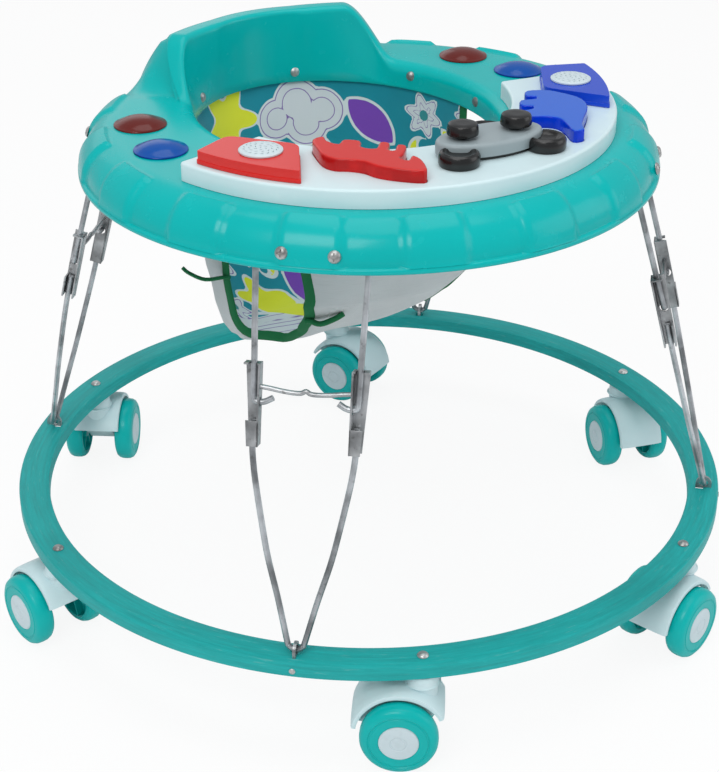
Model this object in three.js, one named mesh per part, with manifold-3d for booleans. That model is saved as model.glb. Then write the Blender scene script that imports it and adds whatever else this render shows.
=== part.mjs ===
// Baby activity walker: a round tray with a cloth seat, carried by four folding wire legs
// on a ring with six twin-wheel casters. Millimetres, +Z up, front towards -Y.
// The origin is on the floor, under the centre of the base ring.
import * as THREE from 'three';
import { mergeVertices } from 'three/addons/utils/BufferGeometryUtils.js';
import Module from 'manifold-3d';

const wasm = await Module();
wasm.setup();

// Fits and overruns
const seatGap = 0.3;
const slideGap = 0.45;
const cutOverrun = 5;
const weldDistance = 1e-4;

// Base ring: a pressed channel, open underneath
const ringOuterRadius = 320;
const ringWidth = 27;
const ringHeight = 12;
const ringWall = 2.5;
const ringSegments = 48;

// Casters: the compass angle of each stem, and the one that its wheels trail to
const casterAngles = [-26.6, 26.4, 87.9, 152, -151.2, -93.6];
const casterTrailAngles = [-127.5, -75.5, -17.5, 24, 142, -173.5];
const wheelRadius = 31;
const wheelWidth = 17;
const wheelSegments = 16;
const wheelEdgeInset = 3.5;
const hubCapRise = 1.2;
const hubWall = 2.5;
const wheelGap = 33;
const axleRadius = 4;
const axleCollarRadius = 6.5;
const axleToRing = 48;
const casterTrail = 17;
const stemRadius = 4;
const stemHeadRadius = 6;
const stemHeadRise = 3.6;
const stemCollarRadius = 8.5;
const stemCollarDrop = 1.5;
const hoodGap = 3;
const hoodWall = 3;
const hoodWidth = 44;
const forkWidth = 26;
const forkBossRadius = 9;
const stemBossRadius = 12.5;
const stemSocketRise = 12;
const hoodTailAngle = 8;
const hoodNoseAngle = 153;
const forkBossAngles = [195, 345];

// Legs: a V of wire below the knee, an inverted U of wire above it
const legAngles = [-45, 45, 135, -135];
const wireRadius = 3;
const wireSides = 6;
const footRise = 4;
const kneeInwardShare = 0.606;
const kneeRiseShare = 0.634;
const tipInset = 16.5;
const tipAboveSkirt = 6.4;
const railHalfSpan = 39.5;
const rodHalfSpan = 42.5;
const footBendRadius = 7;
const footBendAngles = [25, 55, 82];
const railShares = [[0.39, 0.25], [0.62, 0.454], [0.77, 0.63], [0.91, 0.815], [0.97, 0.915]];
const railEndDrop = 14;
const footPlateThickness = 2.5;
const footPlateWidth = 14;
const footPlateRim = 2.8;
const footEyeGap = 0.9;
const footSlotWidth = 8;

// Knee brackets: tapered channels with a notched tab, joined by a bar
const bracketSheet = 1.5;
const bracketTopRise = 30;
const bracketDrop = 34;
const bracketTopDepth = 11.5;
const bracketBottomDepth = 7.5;
const bracketCrimpDrop = 14;
const pinStubLength = 9;
const pinStubRise = 4;
const rodBend = 4.5;
const crossbarRadius = 2.4;
const crossbarRise = 12;
const crossbarBow = 3;
const crossbarBumpRise = 2.4;
const crossbarShares = [[1, 0], [0.6, 0.7], [0.12, 1]];

// Leg clamps under the tray: a hook round the top bar, with room for it to slide in and out
const clampHalfWidth = 30;
const clampTopRise = 12;
const clampOuterReach = 4;
const clampWall = 3;
const clampLip = 2;
const clampPlayInward = 8.9;
const clampPlayOutward = 2.9;
const screwHalfSpan = 17.5;
const screwTiltAngle = 24;
const screwHeadRadius = 5;
const screwHeadRise = 2.6;
const screwShankRadius = 1.8;
const screwLength = 11.5;

// Tray shell
const trayRadius = 241;
const trayWall = 3;
const skirtBottomRise = 292.6;
const lipHeight = 4.5;
const lipStep = 2.5;
const shoulderRadius = 31;
const trayHeight = 35.5;
const pressedPanels = 32;
const pressedDepth = 2.4;
const pressedEdgeAngle = 0.8;
const holeHalfWidth = 122;
const holeHalfLength = 146;
const holeShift = 36;
const holeDepth = 23.5;
const holeRim = 7;
const holeRimDrop = 2;
const backrestHeight = 44.5;
const backrestLean = 4;
const backrestThickness = 13;
const backrestInnerRadius = 183;
const backrestWallTilt = 38;
const backrestWallBulge = 4;
const backrestWallShares = [0.05, 0.2, 0.4, 0.62, 0.85];
const backrestFullAngle = 27;
const backrestEndAngle = 43;

// Toy panel on the front of the tray
const panelInset = 36;
const panelRimGap = 2;
const panelEndAngle = 79;
const panelHeight = 15;
const panelWall = 2.6;
const panelBevel = 2.2;
const panelSteps = 20;

// Domes on the tray: compass angle and radius of each
const domeRadius = 22;
const domeRise = 7;
const domeFlange = 1.2;
const redDomeAngle = 118.2;
const redDomeInset = 51;
const blueDomeAngle = 98.4;
const blueDomeInset = 57;

// Music blocks at the panel's ends
const blockOuterInset = 6;
const blockOuterAngles = [48.8, 75.5];
const blockInnerInsets = [61, 46];
const blockInnerAngles = [55.7, 78];
const blockRise = 10;
const blockBevel = 3;
const grilleRadius = 17;
const grilleRise = 1.5;
const grilleInset = 34;
const grilleAngle = 62.8;

// Push keys: centre of each on the panel, and how far it is turned there
const keyRise = 10;
const keyTravel = 2.5;
const keyDepth = 5;
const keyBevel = 1.5;
const crocodileLength = 100;
const crocodileInset = 50;
const crocodileAngle = -34.7;
const crocodileTurnAngle = -34.2;
const elephantLength = 100;
const elephantInset = 45;
const elephantAngle = 38;
const elephantTurnAngle = -153;

// Toy car on the panel
const carLength = 92;
const carWidth = 46;
const carRise = 13;
const carInset = 55;
const carAngle = 3.5;
const carTurnAngle = -10;
const carBevel = 1.5;
const carPlateThickness = 2.4;
const carPlateShare = 0.92;
const knobRadius = 12.5;
const knobStemRadius = 5;
const knobRise = 9;
const knobShares = [-0.26, 0.26];
const tyreRadius = 16;
const tyreRise = 10.5;
const tyreShares = [[-0.41, -0.41], [0.43, -0.41], [0.1, 0.44]];

// Sound module inside the panel
const moduleLength = 120;
const moduleWidth = 40;
const moduleHeight = 5;
const moduleInset = 40;

// Cloth seat, with a leg opening on each side
const clothThickness = 2.6;
const clothGap = 1;
const clothLap = 8;
const clothLean = 1.4;
const seatDepth = 176;
const seatTurns = 36;
const seatFoldDepth = 2.5;
const seatFolds = 9;
const seatShares = [[0, 1, 1], [0.04, 1, 1], [0.35, 0.99, 0.92], [0.65, 0.96, 0.76],
  [0.82, 0.92, 0.55], [0.93, 0.87, 0.38], [0.985, 0.82, 0.28], [1, 0.76, 0.18]];
const seatBottomShift = 60;
// A leg opening's edge, as places along the walker and heights over the seat's bottom
const legHoleEdge = [[36, 140], [36, 50], [34, 30], [28, 15], [20, 8], [10, 11], [1, 17], [-9, 24.5],
  [-17, 32], [-32, 48], [-41, 62], [-46, 76], [-47, 140]];
const legHoleReach = 56;
const tapeRadius = 2.2;
const tapeThickness = 1.5;
const tapeWidth = 6;

// Places worked out from the sizes
const rad = THREE.MathUtils.degToRad;
const { lerp, mapLinear, smoothstep } = THREE.MathUtils;
const axleHeight = wheelRadius * Math.cos(Math.PI / wheelSegments);
const ringBottom = axleHeight + axleToRing;
const ringTop = ringBottom + ringHeight;
const ringMidRadius = ringOuterRadius - ringWidth / 2;
const footHeight = ringTop + footRise;
const skirtBottom = ringTop + skirtBottomRise;
const trayTop = skirtBottom + trayHeight;
const holeEdge = trayTop - holeDepth;
const backrestTop = trayTop + backrestHeight;
const clothTop = holeEdge + clothLap;
const seatBottom = holeEdge - seatDepth;
const tipRadius = trayRadius - tipInset;
const tipHeight = skirtBottom + tipAboveSkirt;
const kneeRadius = lerp(ringMidRadius, tipRadius, kneeInwardShare);
const kneeHeight = lerp(footHeight, tipHeight, kneeRiseShare);
const lowerLength = Math.hypot(ringMidRadius - kneeRadius, kneeHeight - footHeight);
const lowerTilt = Math.atan2(ringMidRadius - kneeRadius, kneeHeight - footHeight);
const upperLength = Math.hypot(kneeRadius - tipRadius, tipHeight - kneeHeight);
const upperTilt = Math.atan2(kneeRadius - tipRadius, tipHeight - kneeHeight);
const panelOuterRadius = trayRadius - panelInset;
const panelBase = trayTop + seatGap;
const panelTop = trayTop + panelHeight;

// Finishes
const finish = (colour, roughness, metalness = 0) =>
  new THREE.MeshStandardMaterial({ color: colour, roughness, metalness });
const trayTeal = finish('#00b2a9', 0.35);
const ringTeal = finish('#2fa399', 0.45);
const wheelTeal = finish('#08a89b', 0.5);
const casterWhite = finish('#dfe6e6', 0.45);
const zinc = finish('#a9adb2', 0.3, 1);
const panelWhite = finish('#e3ebee', 0.4);
const clearRed = finish('#d8201c', 0.15);
const clearBlue = finish('#1447c8', 0.15);
const darkRed = finish('#7d2a22', 0.15);
const darkBlue = finish('#0f4bb0', 0.15);
const carGrey = finish('#9aa5ab', 0.4);
const black = finish('#141414', 0.25);
const cloth = finish('#2f93a0', 0.9);
const tapeGreen = finish('#0a6b3c', 0.85);
const boardGrey = finish('#6f7a72', 0.7);

const walker = new THREE.Group();
walker.name = 'baby_activity_walker';

// A closed body from a geometry: positions only, shared vertices, faces out
function closedGeometry(source) {
  let geometry = source.clone();
  geometry.deleteAttribute('normal');
  geometry.deleteAttribute('uv');
  geometry = mergeVertices(geometry, weldDistance);
  const position = geometry.attributes.position;
  const triangles = [];
  const a = new THREE.Vector3();
  const b = new THREE.Vector3();
  const c = new THREE.Vector3();
  const index = geometry.index.array;
  let volume = 0;
  for (let i = 0; i < index.length; i += 3) {
    const [p, q, r] = [index[i], index[i + 1], index[i + 2]];
    if (p === q || q === r || r === p) continue;
    triangles.push([p, q, r]);
    a.fromBufferAttribute(position, p);
    b.fromBufferAttribute(position, q);
    c.fromBufferAttribute(position, r);
    volume += a.dot(b.cross(c));
  }
  geometry.setIndex(triangles.flatMap(([p, q, r]) => (volume < 0 ? [p, r, q] : [p, q, r])));
  return geometry;
}

function toSolid(source) {
  const geometry = closedGeometry(source);
  return new wasm.Manifold(new wasm.Mesh({
    numProp: 3,
    vertProperties: new Float32Array(geometry.attributes.position.array),
    triVerts: new Uint32Array(geometry.index.array),
  }));
}

function fromSolid(solid) {
  const mesh = solid.getMesh();
  const geometry = new THREE.BufferGeometry();
  geometry.setAttribute('position', new THREE.BufferAttribute(new Float32Array(mesh.vertProperties), 3));
  geometry.setIndex([...mesh.triVerts]);
  return geometry;
}

const join = (first, ...others) =>
  fromSolid(others.reduce((sum, next) => sum.add(toSolid(next)), toSolid(first)));
const cut = (body, ...tools) =>
  fromSolid(tools.reduce((left, tool) => left.subtract(toSolid(tool)), toSolid(body)));

function addMesh(parent, name, geometry, material) {
  const mesh = new THREE.Mesh(closedGeometry(geometry), material);
  mesh.name = name;
  parent.add(mesh);
  return mesh;
}

const box = (x0, x1, y0, y1, z0, z1) =>
  new THREE.BoxGeometry(x1 - x0, y1 - y0, z1 - z0).translate((x0 + x1) / 2, (y0 + y1) / 2, (z0 + z1) / 2);

// A turned piece on the Z axis; the profile is a list of [radius, height]
const turned = (profile, segments, start = 0) =>
  new THREE.LatheGeometry(profile.map(([r, z]) => new THREE.Vector2(r, z)), segments, start)
    .rotateX(Math.PI / 2);

const drum = (radius, bottom, top, segments = 16) =>
  turned([[0, bottom], [radius, bottom], [radius, top], [0, top]], segments);

const extruded = (outline, depth, curveSegments = 8) =>
  new THREE.ExtrudeGeometry(outline, { depth, bevelEnabled: false, curveSegments });

function outlineOf(points) {
  const outline = new THREE.Shape();
  points.forEach(([x, y], i) => (i === 0 ? outline.moveTo(x, y) : outline.lineTo(x, y)));
  outline.closePath();
  return outline;
}

// The point at a compass angle from the front, seen from above
const polar = (radius, degrees) => [radius * Math.sin(rad(degrees)), -radius * Math.cos(rad(degrees))];

// Moves a piece out along the front line and round to its compass angle
const placed = (geometry, radius, degrees, turn = 0) =>
  geometry.rotateZ(rad(turn)).translate(0, -radius, 0).rotateZ(rad(degrees));

// A route that is swept station by station
class Route extends THREE.Curve {
  constructor(stations) {
    super();
    this.stations = stations;
  }

  getSpacedPoints() {
    return this.stations.map((station) => station.clone());
  }

  getPointAt(share) {
    return this.stations[Math.round(share * (this.stations.length - 1))].clone();
  }

  getTangentAt(share) {
    const last = this.stations.length - 1;
    const i = Math.round(share * last);
    const along = new THREE.Vector3();
    if (i > 0) along.add(this.stations[i].clone().sub(this.stations[i - 1]).normalize());
    if (i < last) along.add(this.stations[i + 1].clone().sub(this.stations[i]).normalize());
    return along.normalize();
  }
}

function rod(stations, radius, sides = wireSides) {
  const section = [];
  for (let i = 0; i < sides; i += 1) {
    const angle = ((i + 0.5) / sides) * 2 * Math.PI;
    section.push([radius * Math.cos(angle), radius * Math.sin(angle)]);
  }
  return new THREE.ExtrudeGeometry(outlineOf(section), {
    steps: stations.length - 1,
    extrudePath: new Route(stations),
  });
}

// Replaces each inner corner of a route by a bend of three stations
function bent(corners, bend) {
  const stations = [corners[0]];
  for (let i = 1; i < corners.length - 1; i += 1) {
    const here = corners[i];
    const back = corners[i - 1].clone().sub(here);
    const ahead = corners[i + 1].clone().sub(here);
    const reach = Math.min(bend, 0.45 * back.length(), 0.45 * ahead.length());
    const from = here.clone().addScaledVector(back.normalize(), reach);
    const to = here.clone().addScaledVector(ahead.normalize(), reach);
    const middle = from.clone().add(to).multiplyScalar(0.25).addScaledVector(here, 0.5);
    stations.push(from, middle, to);
  }
  stations.push(corners[corners.length - 1]);
  return stations;
}

// Base ring with a foot plate and a slot for each leg, and a hole for each caster stem
function footPlate(degrees) {
  const halfWidth = footPlateWidth / 2;
  const low = -footRise - ringWall / 2;
  const high = wireRadius + footEyeGap + footPlateRim;
  const outline = outlineOf([
    [-halfWidth, low], [halfWidth, low], [halfWidth, 0],
    [halfWidth / 2, high], [-halfWidth / 2, high], [-halfWidth, 0],
  ]);
  const eye = new THREE.Path();
  eye.absarc(0, 0, wireRadius + footEyeGap, 0, 2 * Math.PI, true);
  outline.holes.push(eye);
  return extruded(outline, footPlateThickness, 4)
    .translate(0, 0, -footPlateThickness / 2)
    .rotateX(Math.PI / 2).rotateZ(Math.PI / 2)
    .translate(0, -ringMidRadius, footHeight)
    .rotateZ(rad(degrees));
}

function baseRing() {
  const inner = ringOuterRadius - ringWidth;
  const ring = turned([
    [inner, ringBottom], [inner, ringTop], [ringOuterRadius, ringTop], [ringOuterRadius, ringBottom],
    [ringOuterRadius - ringWall, ringBottom], [ringOuterRadius - ringWall, ringTop - ringWall],
    [inner + ringWall, ringTop - ringWall], [inner + ringWall, ringBottom], [inner, ringBottom],
  ], ringSegments);
  const tools = [];
  for (const degrees of casterAngles) {
    const hole = drum(stemRadius + slideGap, ringTop - ringHeight, ringTop + cutOverrun, 12);
    tools.push(placed(hole, ringMidRadius, degrees));
  }
  const slotOuter = -(ringMidRadius - footPlateWidth / 2);
  for (const degrees of legAngles) {
    const slot = box(-footSlotWidth / 2, footSlotWidth / 2, slotOuter, slotOuter + footPlateWidth / 2,
      ringTop - ringWall - cutOverrun, ringTop + cutOverrun);
    tools.push(slot.rotateZ(rad(degrees)));
  }
  addMesh(walker, 'base_ring', join(cut(ring, ...tools), ...legAngles.map(footPlate)), ringTeal);
}

// Casters: a riveted stem, a hooded fork with its axle, and two wheels
function casterStem() {
  const head = ringTop + seatGap;
  const shankTop = ringTop - ringWall - seatGap;
  const collarBottom = ringBottom - stemCollarDrop;
  const foot = axleHeight + stemSocketRise + seatGap;
  return turned([
    [0, head + stemHeadRise], [stemHeadRadius, head + stemHeadRise * 0.4], [stemHeadRadius, head],
    [stemRadius, head],
    [stemRadius, shankTop], [stemCollarRadius, shankTop], [stemCollarRadius, collarBottom],
    [stemRadius, collarBottom], [stemRadius, foot], [0, foot],
  ], 8).translate(0, -ringMidRadius, 0);
}

// The fork stands on the swivel axis, and its wheels trail along +X
function casterFork() {
  const hoodOuter = wheelRadius + hoodGap + hoodWall;
  const tail = rad(hoodTailAngle);
  const nose = rad(hoodNoseAngle);
  const fork = new THREE.Shape();
  fork.absarc(0, 0, hoodOuter, tail, nose, false);
  fork.absarc(0, 0, forkBossRadius, rad(forkBossAngles[0]), rad(forkBossAngles[1]), false);
  fork.closePath();
  const hood = new THREE.Shape();
  hood.absarc(0, 0, hoodOuter, tail, nose, false);
  hood.absarc(0, 0, hoodOuter - hoodWall, nose, tail, true);
  hood.closePath();
  const across = (geometry) => geometry.rotateX(Math.PI / 2).translate(casterTrail, 0, axleHeight);
  const slab = (outline, width) => across(extruded(outline, width, 4).translate(0, 0, -width / 2));
  const axle = (radius, length) => across(drum(radius, -length / 2, length / 2, 8));
  const axleLength = wheelGap + 2 * (wheelWidth - hubWall - seatGap);
  const body = join(
    slab(fork, forkWidth),
    slab(hood, hoodWidth),
    drum(stemBossRadius, axleHeight + stemSocketRise, ringBottom - stemCollarDrop - seatGap, 12),
    axle(axleCollarRadius, wheelGap - 2 * seatGap),
    axle(axleRadius, axleLength),
  );
  const socketFloor = axleHeight + stemSocketRise;
  return cut(body, drum(stemRadius + slideGap, socketFloor, ringBottom, 12));
}

function casterWheel() {
  const half = wheelWidth / 2;
  return turned([
    [0, half + hubCapRise], [wheelRadius - wheelEdgeInset, half],
    [wheelRadius, half - wheelEdgeInset], [wheelRadius, wheelEdgeInset - half],
    [wheelRadius - wheelEdgeInset, -half], [axleRadius + slideGap, -half],
    [axleRadius + slideGap, half - hubWall], [0, half - hubWall],
  ], wheelSegments, Math.PI / wheelSegments);
}

function caster(number, degrees, trailAngle) {
  const place = new THREE.Group();
  place.rotation.z = rad(degrees);
  addMesh(place, `caster_stem_${number}`, casterStem(), zinc);
  const swivel = new THREE.Group();
  swivel.position.set(0, -ringMidRadius, 0);
  swivel.rotation.z = rad(trailAngle - 90 - degrees);
  addMesh(swivel, `caster_fork_${number}`, casterFork(), casterWhite);
  const offset = (wheelGap + wheelWidth) / 2;
  for (const [side, sign] of [['left', 1], ['right', -1]]) {
    const wheel = casterWheel().rotateX((-sign * Math.PI) / 2)
      .translate(casterTrail, sign * offset, axleHeight);
    addMesh(swivel, `caster_wheel_${number}_${side}`, wheel, wheelTeal);
  }
  place.add(swivel);
  walker.add(place);
}

// Legs. In a link's own frame X runs along the hinge, Z up the link and -Y away from the tray
const at = (x, z, y = 0) => new THREE.Vector3(x, y, z);
const mirrored = (stations) => stations.map((point) => at(-point.x, point.z)).reverse();

function lowerWire() {
  const straightFrom = lowerLength - bracketDrop;
  const side = footBendAngles.map((degrees) =>
    at(footBendRadius * Math.sin(rad(degrees)), footBendRadius * (1 - Math.cos(rad(degrees)))));
  railShares.forEach(([spanShare, riseShare]) =>
    side.push(at(railHalfSpan * spanShare, straightFrom * riseShare)));
  side.push(at(railHalfSpan, straightFrom), at(railHalfSpan, lowerLength - railEndDrop));
  return rod([...mirrored(side), at(0, 0), ...side], wireRadius);
}

// The brackets clear the rods, which lean in a little more than the bracket does
const bracketWeb = railHalfSpan - wireRadius - slideGap;
const bracketFront = -(wireRadius + slideGap);
const bracketBack = wireRadius + slideGap + bracketTopRise * Math.sin(upperTilt - lowerTilt);
const rodSpanAt = (rise) => lerp(railHalfSpan, rodHalfSpan, rise / upperLength);

function kneeBracket() {
  const inner = bracketWeb - bracketSheet;
  const depthAt = (z) => mapLinear(z, -bracketDrop, bracketTopRise, bracketBottomDepth, bracketTopDepth);
  const flange = (low, high, y) => extruded(outlineOf([
    [inner, low], [bracketWeb + depthAt(low), low], [bracketWeb + depthAt(high), high], [inner, high],
  ]), bracketSheet).rotateX(Math.PI / 2).translate(0, y + bracketSheet, 0);
  const body = join(
    box(inner, bracketWeb, bracketFront - bracketSheet, bracketBack + bracketSheet,
      -bracketDrop, bracketTopRise),
    flange(-bracketDrop, bracketTopRise, bracketBack),
    flange(-bracketDrop, -bracketCrimpDrop, bracketFront - bracketSheet),
    box(inner, bracketWeb + bracketTopDepth, bracketFront, bracketBack + bracketSheet,
      bracketTopRise - bracketSheet, bracketTopRise),
  );
  const notchX = rodSpanAt(bracketTopRise);
  const notchY = bracketBack + bracketFront;
  const low = bracketTopRise - bracketSheet - cutOverrun;
  const high = bracketTopRise + cutOverrun;
  const notch = drum(wireRadius + slideGap, low, high, 8).translate(notchX, notchY, 0);
  const mouth = box(notchX + bracketFront, notchX - bracketFront, bracketFront - cutOverrun, notchY,
    low, high);
  const pinEye = drum(wireRadius + 2 * slideGap, inner - cutOverrun, bracketWeb + cutOverrun, 8)
    .rotateY(Math.PI / 2);
  return cut(body, notch, mouth, pinEye);
}

function latchFrame() {
  const right = kneeBracket();
  const left = right.clone().scale(-1, 1, 1);
  const reach = bracketWeb - bracketSheet / 2;
  const side = crossbarShares.map(([spanShare, bowShare]) =>
    at(reach * spanShare, crossbarRise - crossbarBow * bowShare)).reverse();
  const middle = at(0, crossbarRise - crossbarBow + crossbarBumpRise);
  return join(right, left, rod([...mirrored(side), middle, ...side], crossbarRadius));
}

function upperWire() {
  const inner = bracketWeb - bracketSheet;
  const side = bent([
    at(inner - pinStubLength, pinStubRise), at(inner - wireRadius, 0), at(railHalfSpan, 0),
    at(rodHalfSpan, upperLength), at(0, upperLength),
  ], rodBend);
  side.pop();
  return rod([...side, ...mirrored(side)], wireRadius);
}

// The shoulder's centre, and a point on its outer face at a tilt above the level
const shoulderCentre = [trayRadius - pressedDepth / 2 - shoulderRadius, trayTop - shoulderRadius];

function clampScrew(sign) {
  const seat = shoulderRadius + pressedDepth + seatGap;
  const angle = Math.asin(screwHalfSpan / trayRadius);
  return turned([
    [0, seat + screwHeadRise], [screwHeadRadius, seat + screwHeadRise * 0.4], [screwHeadRadius, seat],
    [screwShankRadius, seat],
    [screwShankRadius, seat - screwLength], [0, seat - screwLength],
  ], 8)
    .rotateX(Math.PI / 2 - rad(screwTiltAngle))
    .translate(0, -shoulderCentre[0], shoulderCentre[1])
    .rotateZ(sign * angle);
}

function legClamp() {
  const slotHalf = wireRadius + seatGap;
  const slotInner = tipRadius - clampPlayInward - slotHalf;
  const slotOuter = tipRadius + clampPlayOutward + slotHalf;
  const low = tipHeight - slotHalf - clampLip;
  const block = box(-clampHalfWidth, clampHalfWidth, -(tipRadius + clampOuterReach), -(slotInner - clampWall),
    low, tipHeight + clampTopRise);
  const lip = box(-clampHalfWidth, clampHalfWidth, -slotOuter, -slotInner, low, tipHeight - slotHalf);
  const slot = box(-clampHalfWidth - cutOverrun, clampHalfWidth + cutOverrun,
    -slotOuter - cutOverrun, -slotInner, tipHeight - slotHalf, tipHeight + slotHalf);
  return join(cut(join(block, lip), slot), clampScrew(-1), clampScrew(1));
}

function leg(number, degrees) {
  const place = new THREE.Group();
  place.rotation.z = rad(degrees);
  const lower = new THREE.Group();
  lower.position.set(0, -ringMidRadius, footHeight);
  lower.rotation.x = -lowerTilt;
  addMesh(lower, `lower_leg_wire_${number}`, lowerWire(), zinc);
  const latch = addMesh(lower, `latch_frame_${number}`, latchFrame(), zinc);
  latch.position.z = lowerLength;
  const upper = new THREE.Group();
  upper.position.set(0, -kneeRadius, kneeHeight);
  upper.rotation.x = -upperTilt;
  addMesh(upper, `upper_leg_wire_${number}`, upperWire(), zinc);
  place.add(lower, upper);
  addMesh(place, `leg_clamp_${number}`, legClamp(), casterWhite);
  walker.add(place);
}

// Tray shell: one closed grid, with a profile at each station round the tray. The inner face
// leaves out the profile points of the small outer rounds
const innerSkips = [5, 10, 11];
const holeRadiusAt = (degrees, extra = 0) => {
  const halfWidth = holeHalfWidth + extra;
  const halfLength = holeHalfLength + extra;
  const x = Math.sin(rad(degrees)) / halfWidth;
  const y = -Math.cos(rad(degrees)) / halfLength;
  const shift = holeShift / halfLength;
  const square = x * x + y * y;
  return (y * shift + Math.sqrt((y * shift) ** 2 - square * (shift * shift - 1))) / square;
};

const backrestShare = (degrees) =>
  1 - smoothstep(Math.abs(Math.abs(degrees) - 180), backrestFullAngle, backrestEndAngle);

// The profile runs from the skirt's lip over the top to the hole's edge, as [radius, height]
function trayProfile(degrees, pressed, inset) {
  const share = backrestShare(degrees);
  const [centreX, centreZ] = shoulderCentre;
  const round = shoulderRadius - inset;
  const shoulder = (tilt, proud) => {
    const reach = round + pressed * proud;
    return [centreX + reach * Math.cos(rad(tilt)), centreZ + reach * Math.sin(rad(tilt))];
  };
  const wall = centreX + round + pressed;
  const lip = trayRadius + lipStep - inset;
  const edge = holeRadiusAt(degrees) + inset;
  const lean = Math.max(backrestLean, backrestInnerRadius - holeRadiusAt(degrees));
  const crestInner = edge + lerp(holeRim, lean, share);
  const crestOuter = edge + lerp(holeRim + panelRimGap, lean + backrestThickness - 2 * inset, share);
  const foot = edge - 2 * inset + holeRim + 2 * panelRimGap;
  const top = trayTop - inset;
  const crest = lerp(top, backrestTop - inset, share);
  const wallFoot = shoulder(backrestWallTilt, 1);
  // A point of the plain tray, raised onto the backrest's outer wall where there is one
  const raisedTo = ([x, z], wallShare) => {
    const bulge = backrestWallBulge * 4 * wallShare * (1 - wallShare);
    return [
      lerp(x, lerp(crestOuter, wallFoot[0], wallShare) + bulge, share),
      lerp(z, lerp(crest, wallFoot[1], wallShare), share),
    ];
  };
  const [edgeWall, highWall, midWall, lowWall, footWall] = backrestWallShares;
  return [
    [lip, skirtBottom], [lip, skirtBottom + lipHeight - inset / 2], [wall, skirtBottom + lipHeight],
    shoulder(22, 1), raisedTo(shoulder(45, 1), footWall), raisedTo(shoulder(68, 0.6), lowWall),
    raisedTo([centreX, top], midWall), raisedTo([foot, top], highWall),
    raisedTo([lerp(crestOuter, foot, 0.2), lerp(top, crest, 0.93)], edgeWall),
    [lerp(crestOuter, crestInner, 0.3), crest],
    [lerp(crestInner, edge, 0.15), crest - holeRimDrop * 0.3],
    [lerp(crestInner, edge, 0.6), crest - holeRimDrop * 2],
    [lerp(crestInner, edge, 0.9), lerp(holeEdge, crest, 0.4)], [edge, holeEdge],
  ];
}

function trayShell() {
  const step = 360 / pressedPanels;
  const rows = [];
  for (let i = 0; i < pressedPanels; i += 1) {
    const pressed = i % 2 === 0 ? pressedDepth : 0;
    for (const side of [-1, 1]) {
      const degrees = -180 + i * step + side * (step / 2 - pressedEdgeAngle);
      const inner = trayProfile(degrees, pressed, trayWall).filter((point, j) => !innerSkips.includes(j));
      const profile = [...trayProfile(degrees, pressed, 0), ...inner.reverse()];
      rows.push(profile.map(([radius, height]) => [...polar(radius, degrees), height]));
    }
  }
  const across = rows[0].length;
  const index = [];
  rows.forEach((row, i) => {
    const next = (i + 1) % rows.length;
    for (let j = 0; j < across; j += 1) {
      const k = (j + 1) % across;
      index.push(i * across + j, next * across + j, next * across + k);
      index.push(i * across + j, next * across + k, i * across + k);
    }
  });
  const geometry = new THREE.BufferGeometry();
  geometry.setAttribute('position', new THREE.Float32BufferAttribute(rows.flat(2), 3));
  geometry.setIndex(index);
  const screwAngle = THREE.MathUtils.radToDeg(Math.asin(screwHalfSpan / trayRadius));
  const holeBottom = shoulderRadius - trayWall - cutOverrun;
  const holeTop = shoulderRadius + pressedDepth + cutOverrun;
  const holes = legAngles.flatMap((degrees) => [-1, 1].map((sign) =>
    drum(screwShankRadius + slideGap, holeBottom, holeTop, 6)
      .rotateX(Math.PI / 2 - rad(screwTiltAngle))
      .translate(0, -shoulderCentre[0], shoulderCentre[1])
      .rotateZ(rad(degrees + sign * screwAngle))));
  addMesh(walker, 'tray_shell', cut(geometry, ...holes), trayTeal);
}

// A flat-footed raised piece with its upper edge rounded off
function raised(outline, bottom, top, bevel, curveSegments = 8) {
  const body = new THREE.ExtrudeGeometry(outline, {
    depth: top - bottom - bevel,
    bevelEnabled: true,
    bevelThickness: bevel,
    bevelSize: bevel,
    bevelOffset: -bevel,
    bevelSegments: 1,
    curveSegments,
  }).translate(0, 0, bottom);
  body.computeBoundingBox();
  const { min, max } = body.boundingBox;
  const under = box(min.x - cutOverrun, max.x + cutOverrun, min.y - cutOverrun, max.y + cutOverrun,
    bottom - cutOverrun - bevel, bottom);
  return cut(body, under);
}

// An upright prism a little larger all round than its outline
const grown = (outline, margin, bottom, top) =>
  new THREE.ExtrudeGeometry(outline, {
    depth: top - bottom - 2 * margin,
    bevelEnabled: true,
    bevelThickness: margin,
    bevelSize: 0,
    bevelOffset: margin,
    bevelSegments: 1,
  }).translate(0, 0, bottom + margin);

// The band between an inner edge and the outer radius, from one compass angle to another
function bandOutline(innerAt, outerRadius, from, to, steps) {
  const outer = [];
  const inner = [];
  for (let i = 0; i <= steps; i += 1) {
    const degrees = lerp(from, to, i / steps);
    outer.push(polar(outerRadius, degrees));
    inner.push(polar(innerAt(degrees), degrees));
  }
  return outlineOf([...outer, ...inner.reverse()]);
}

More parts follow.
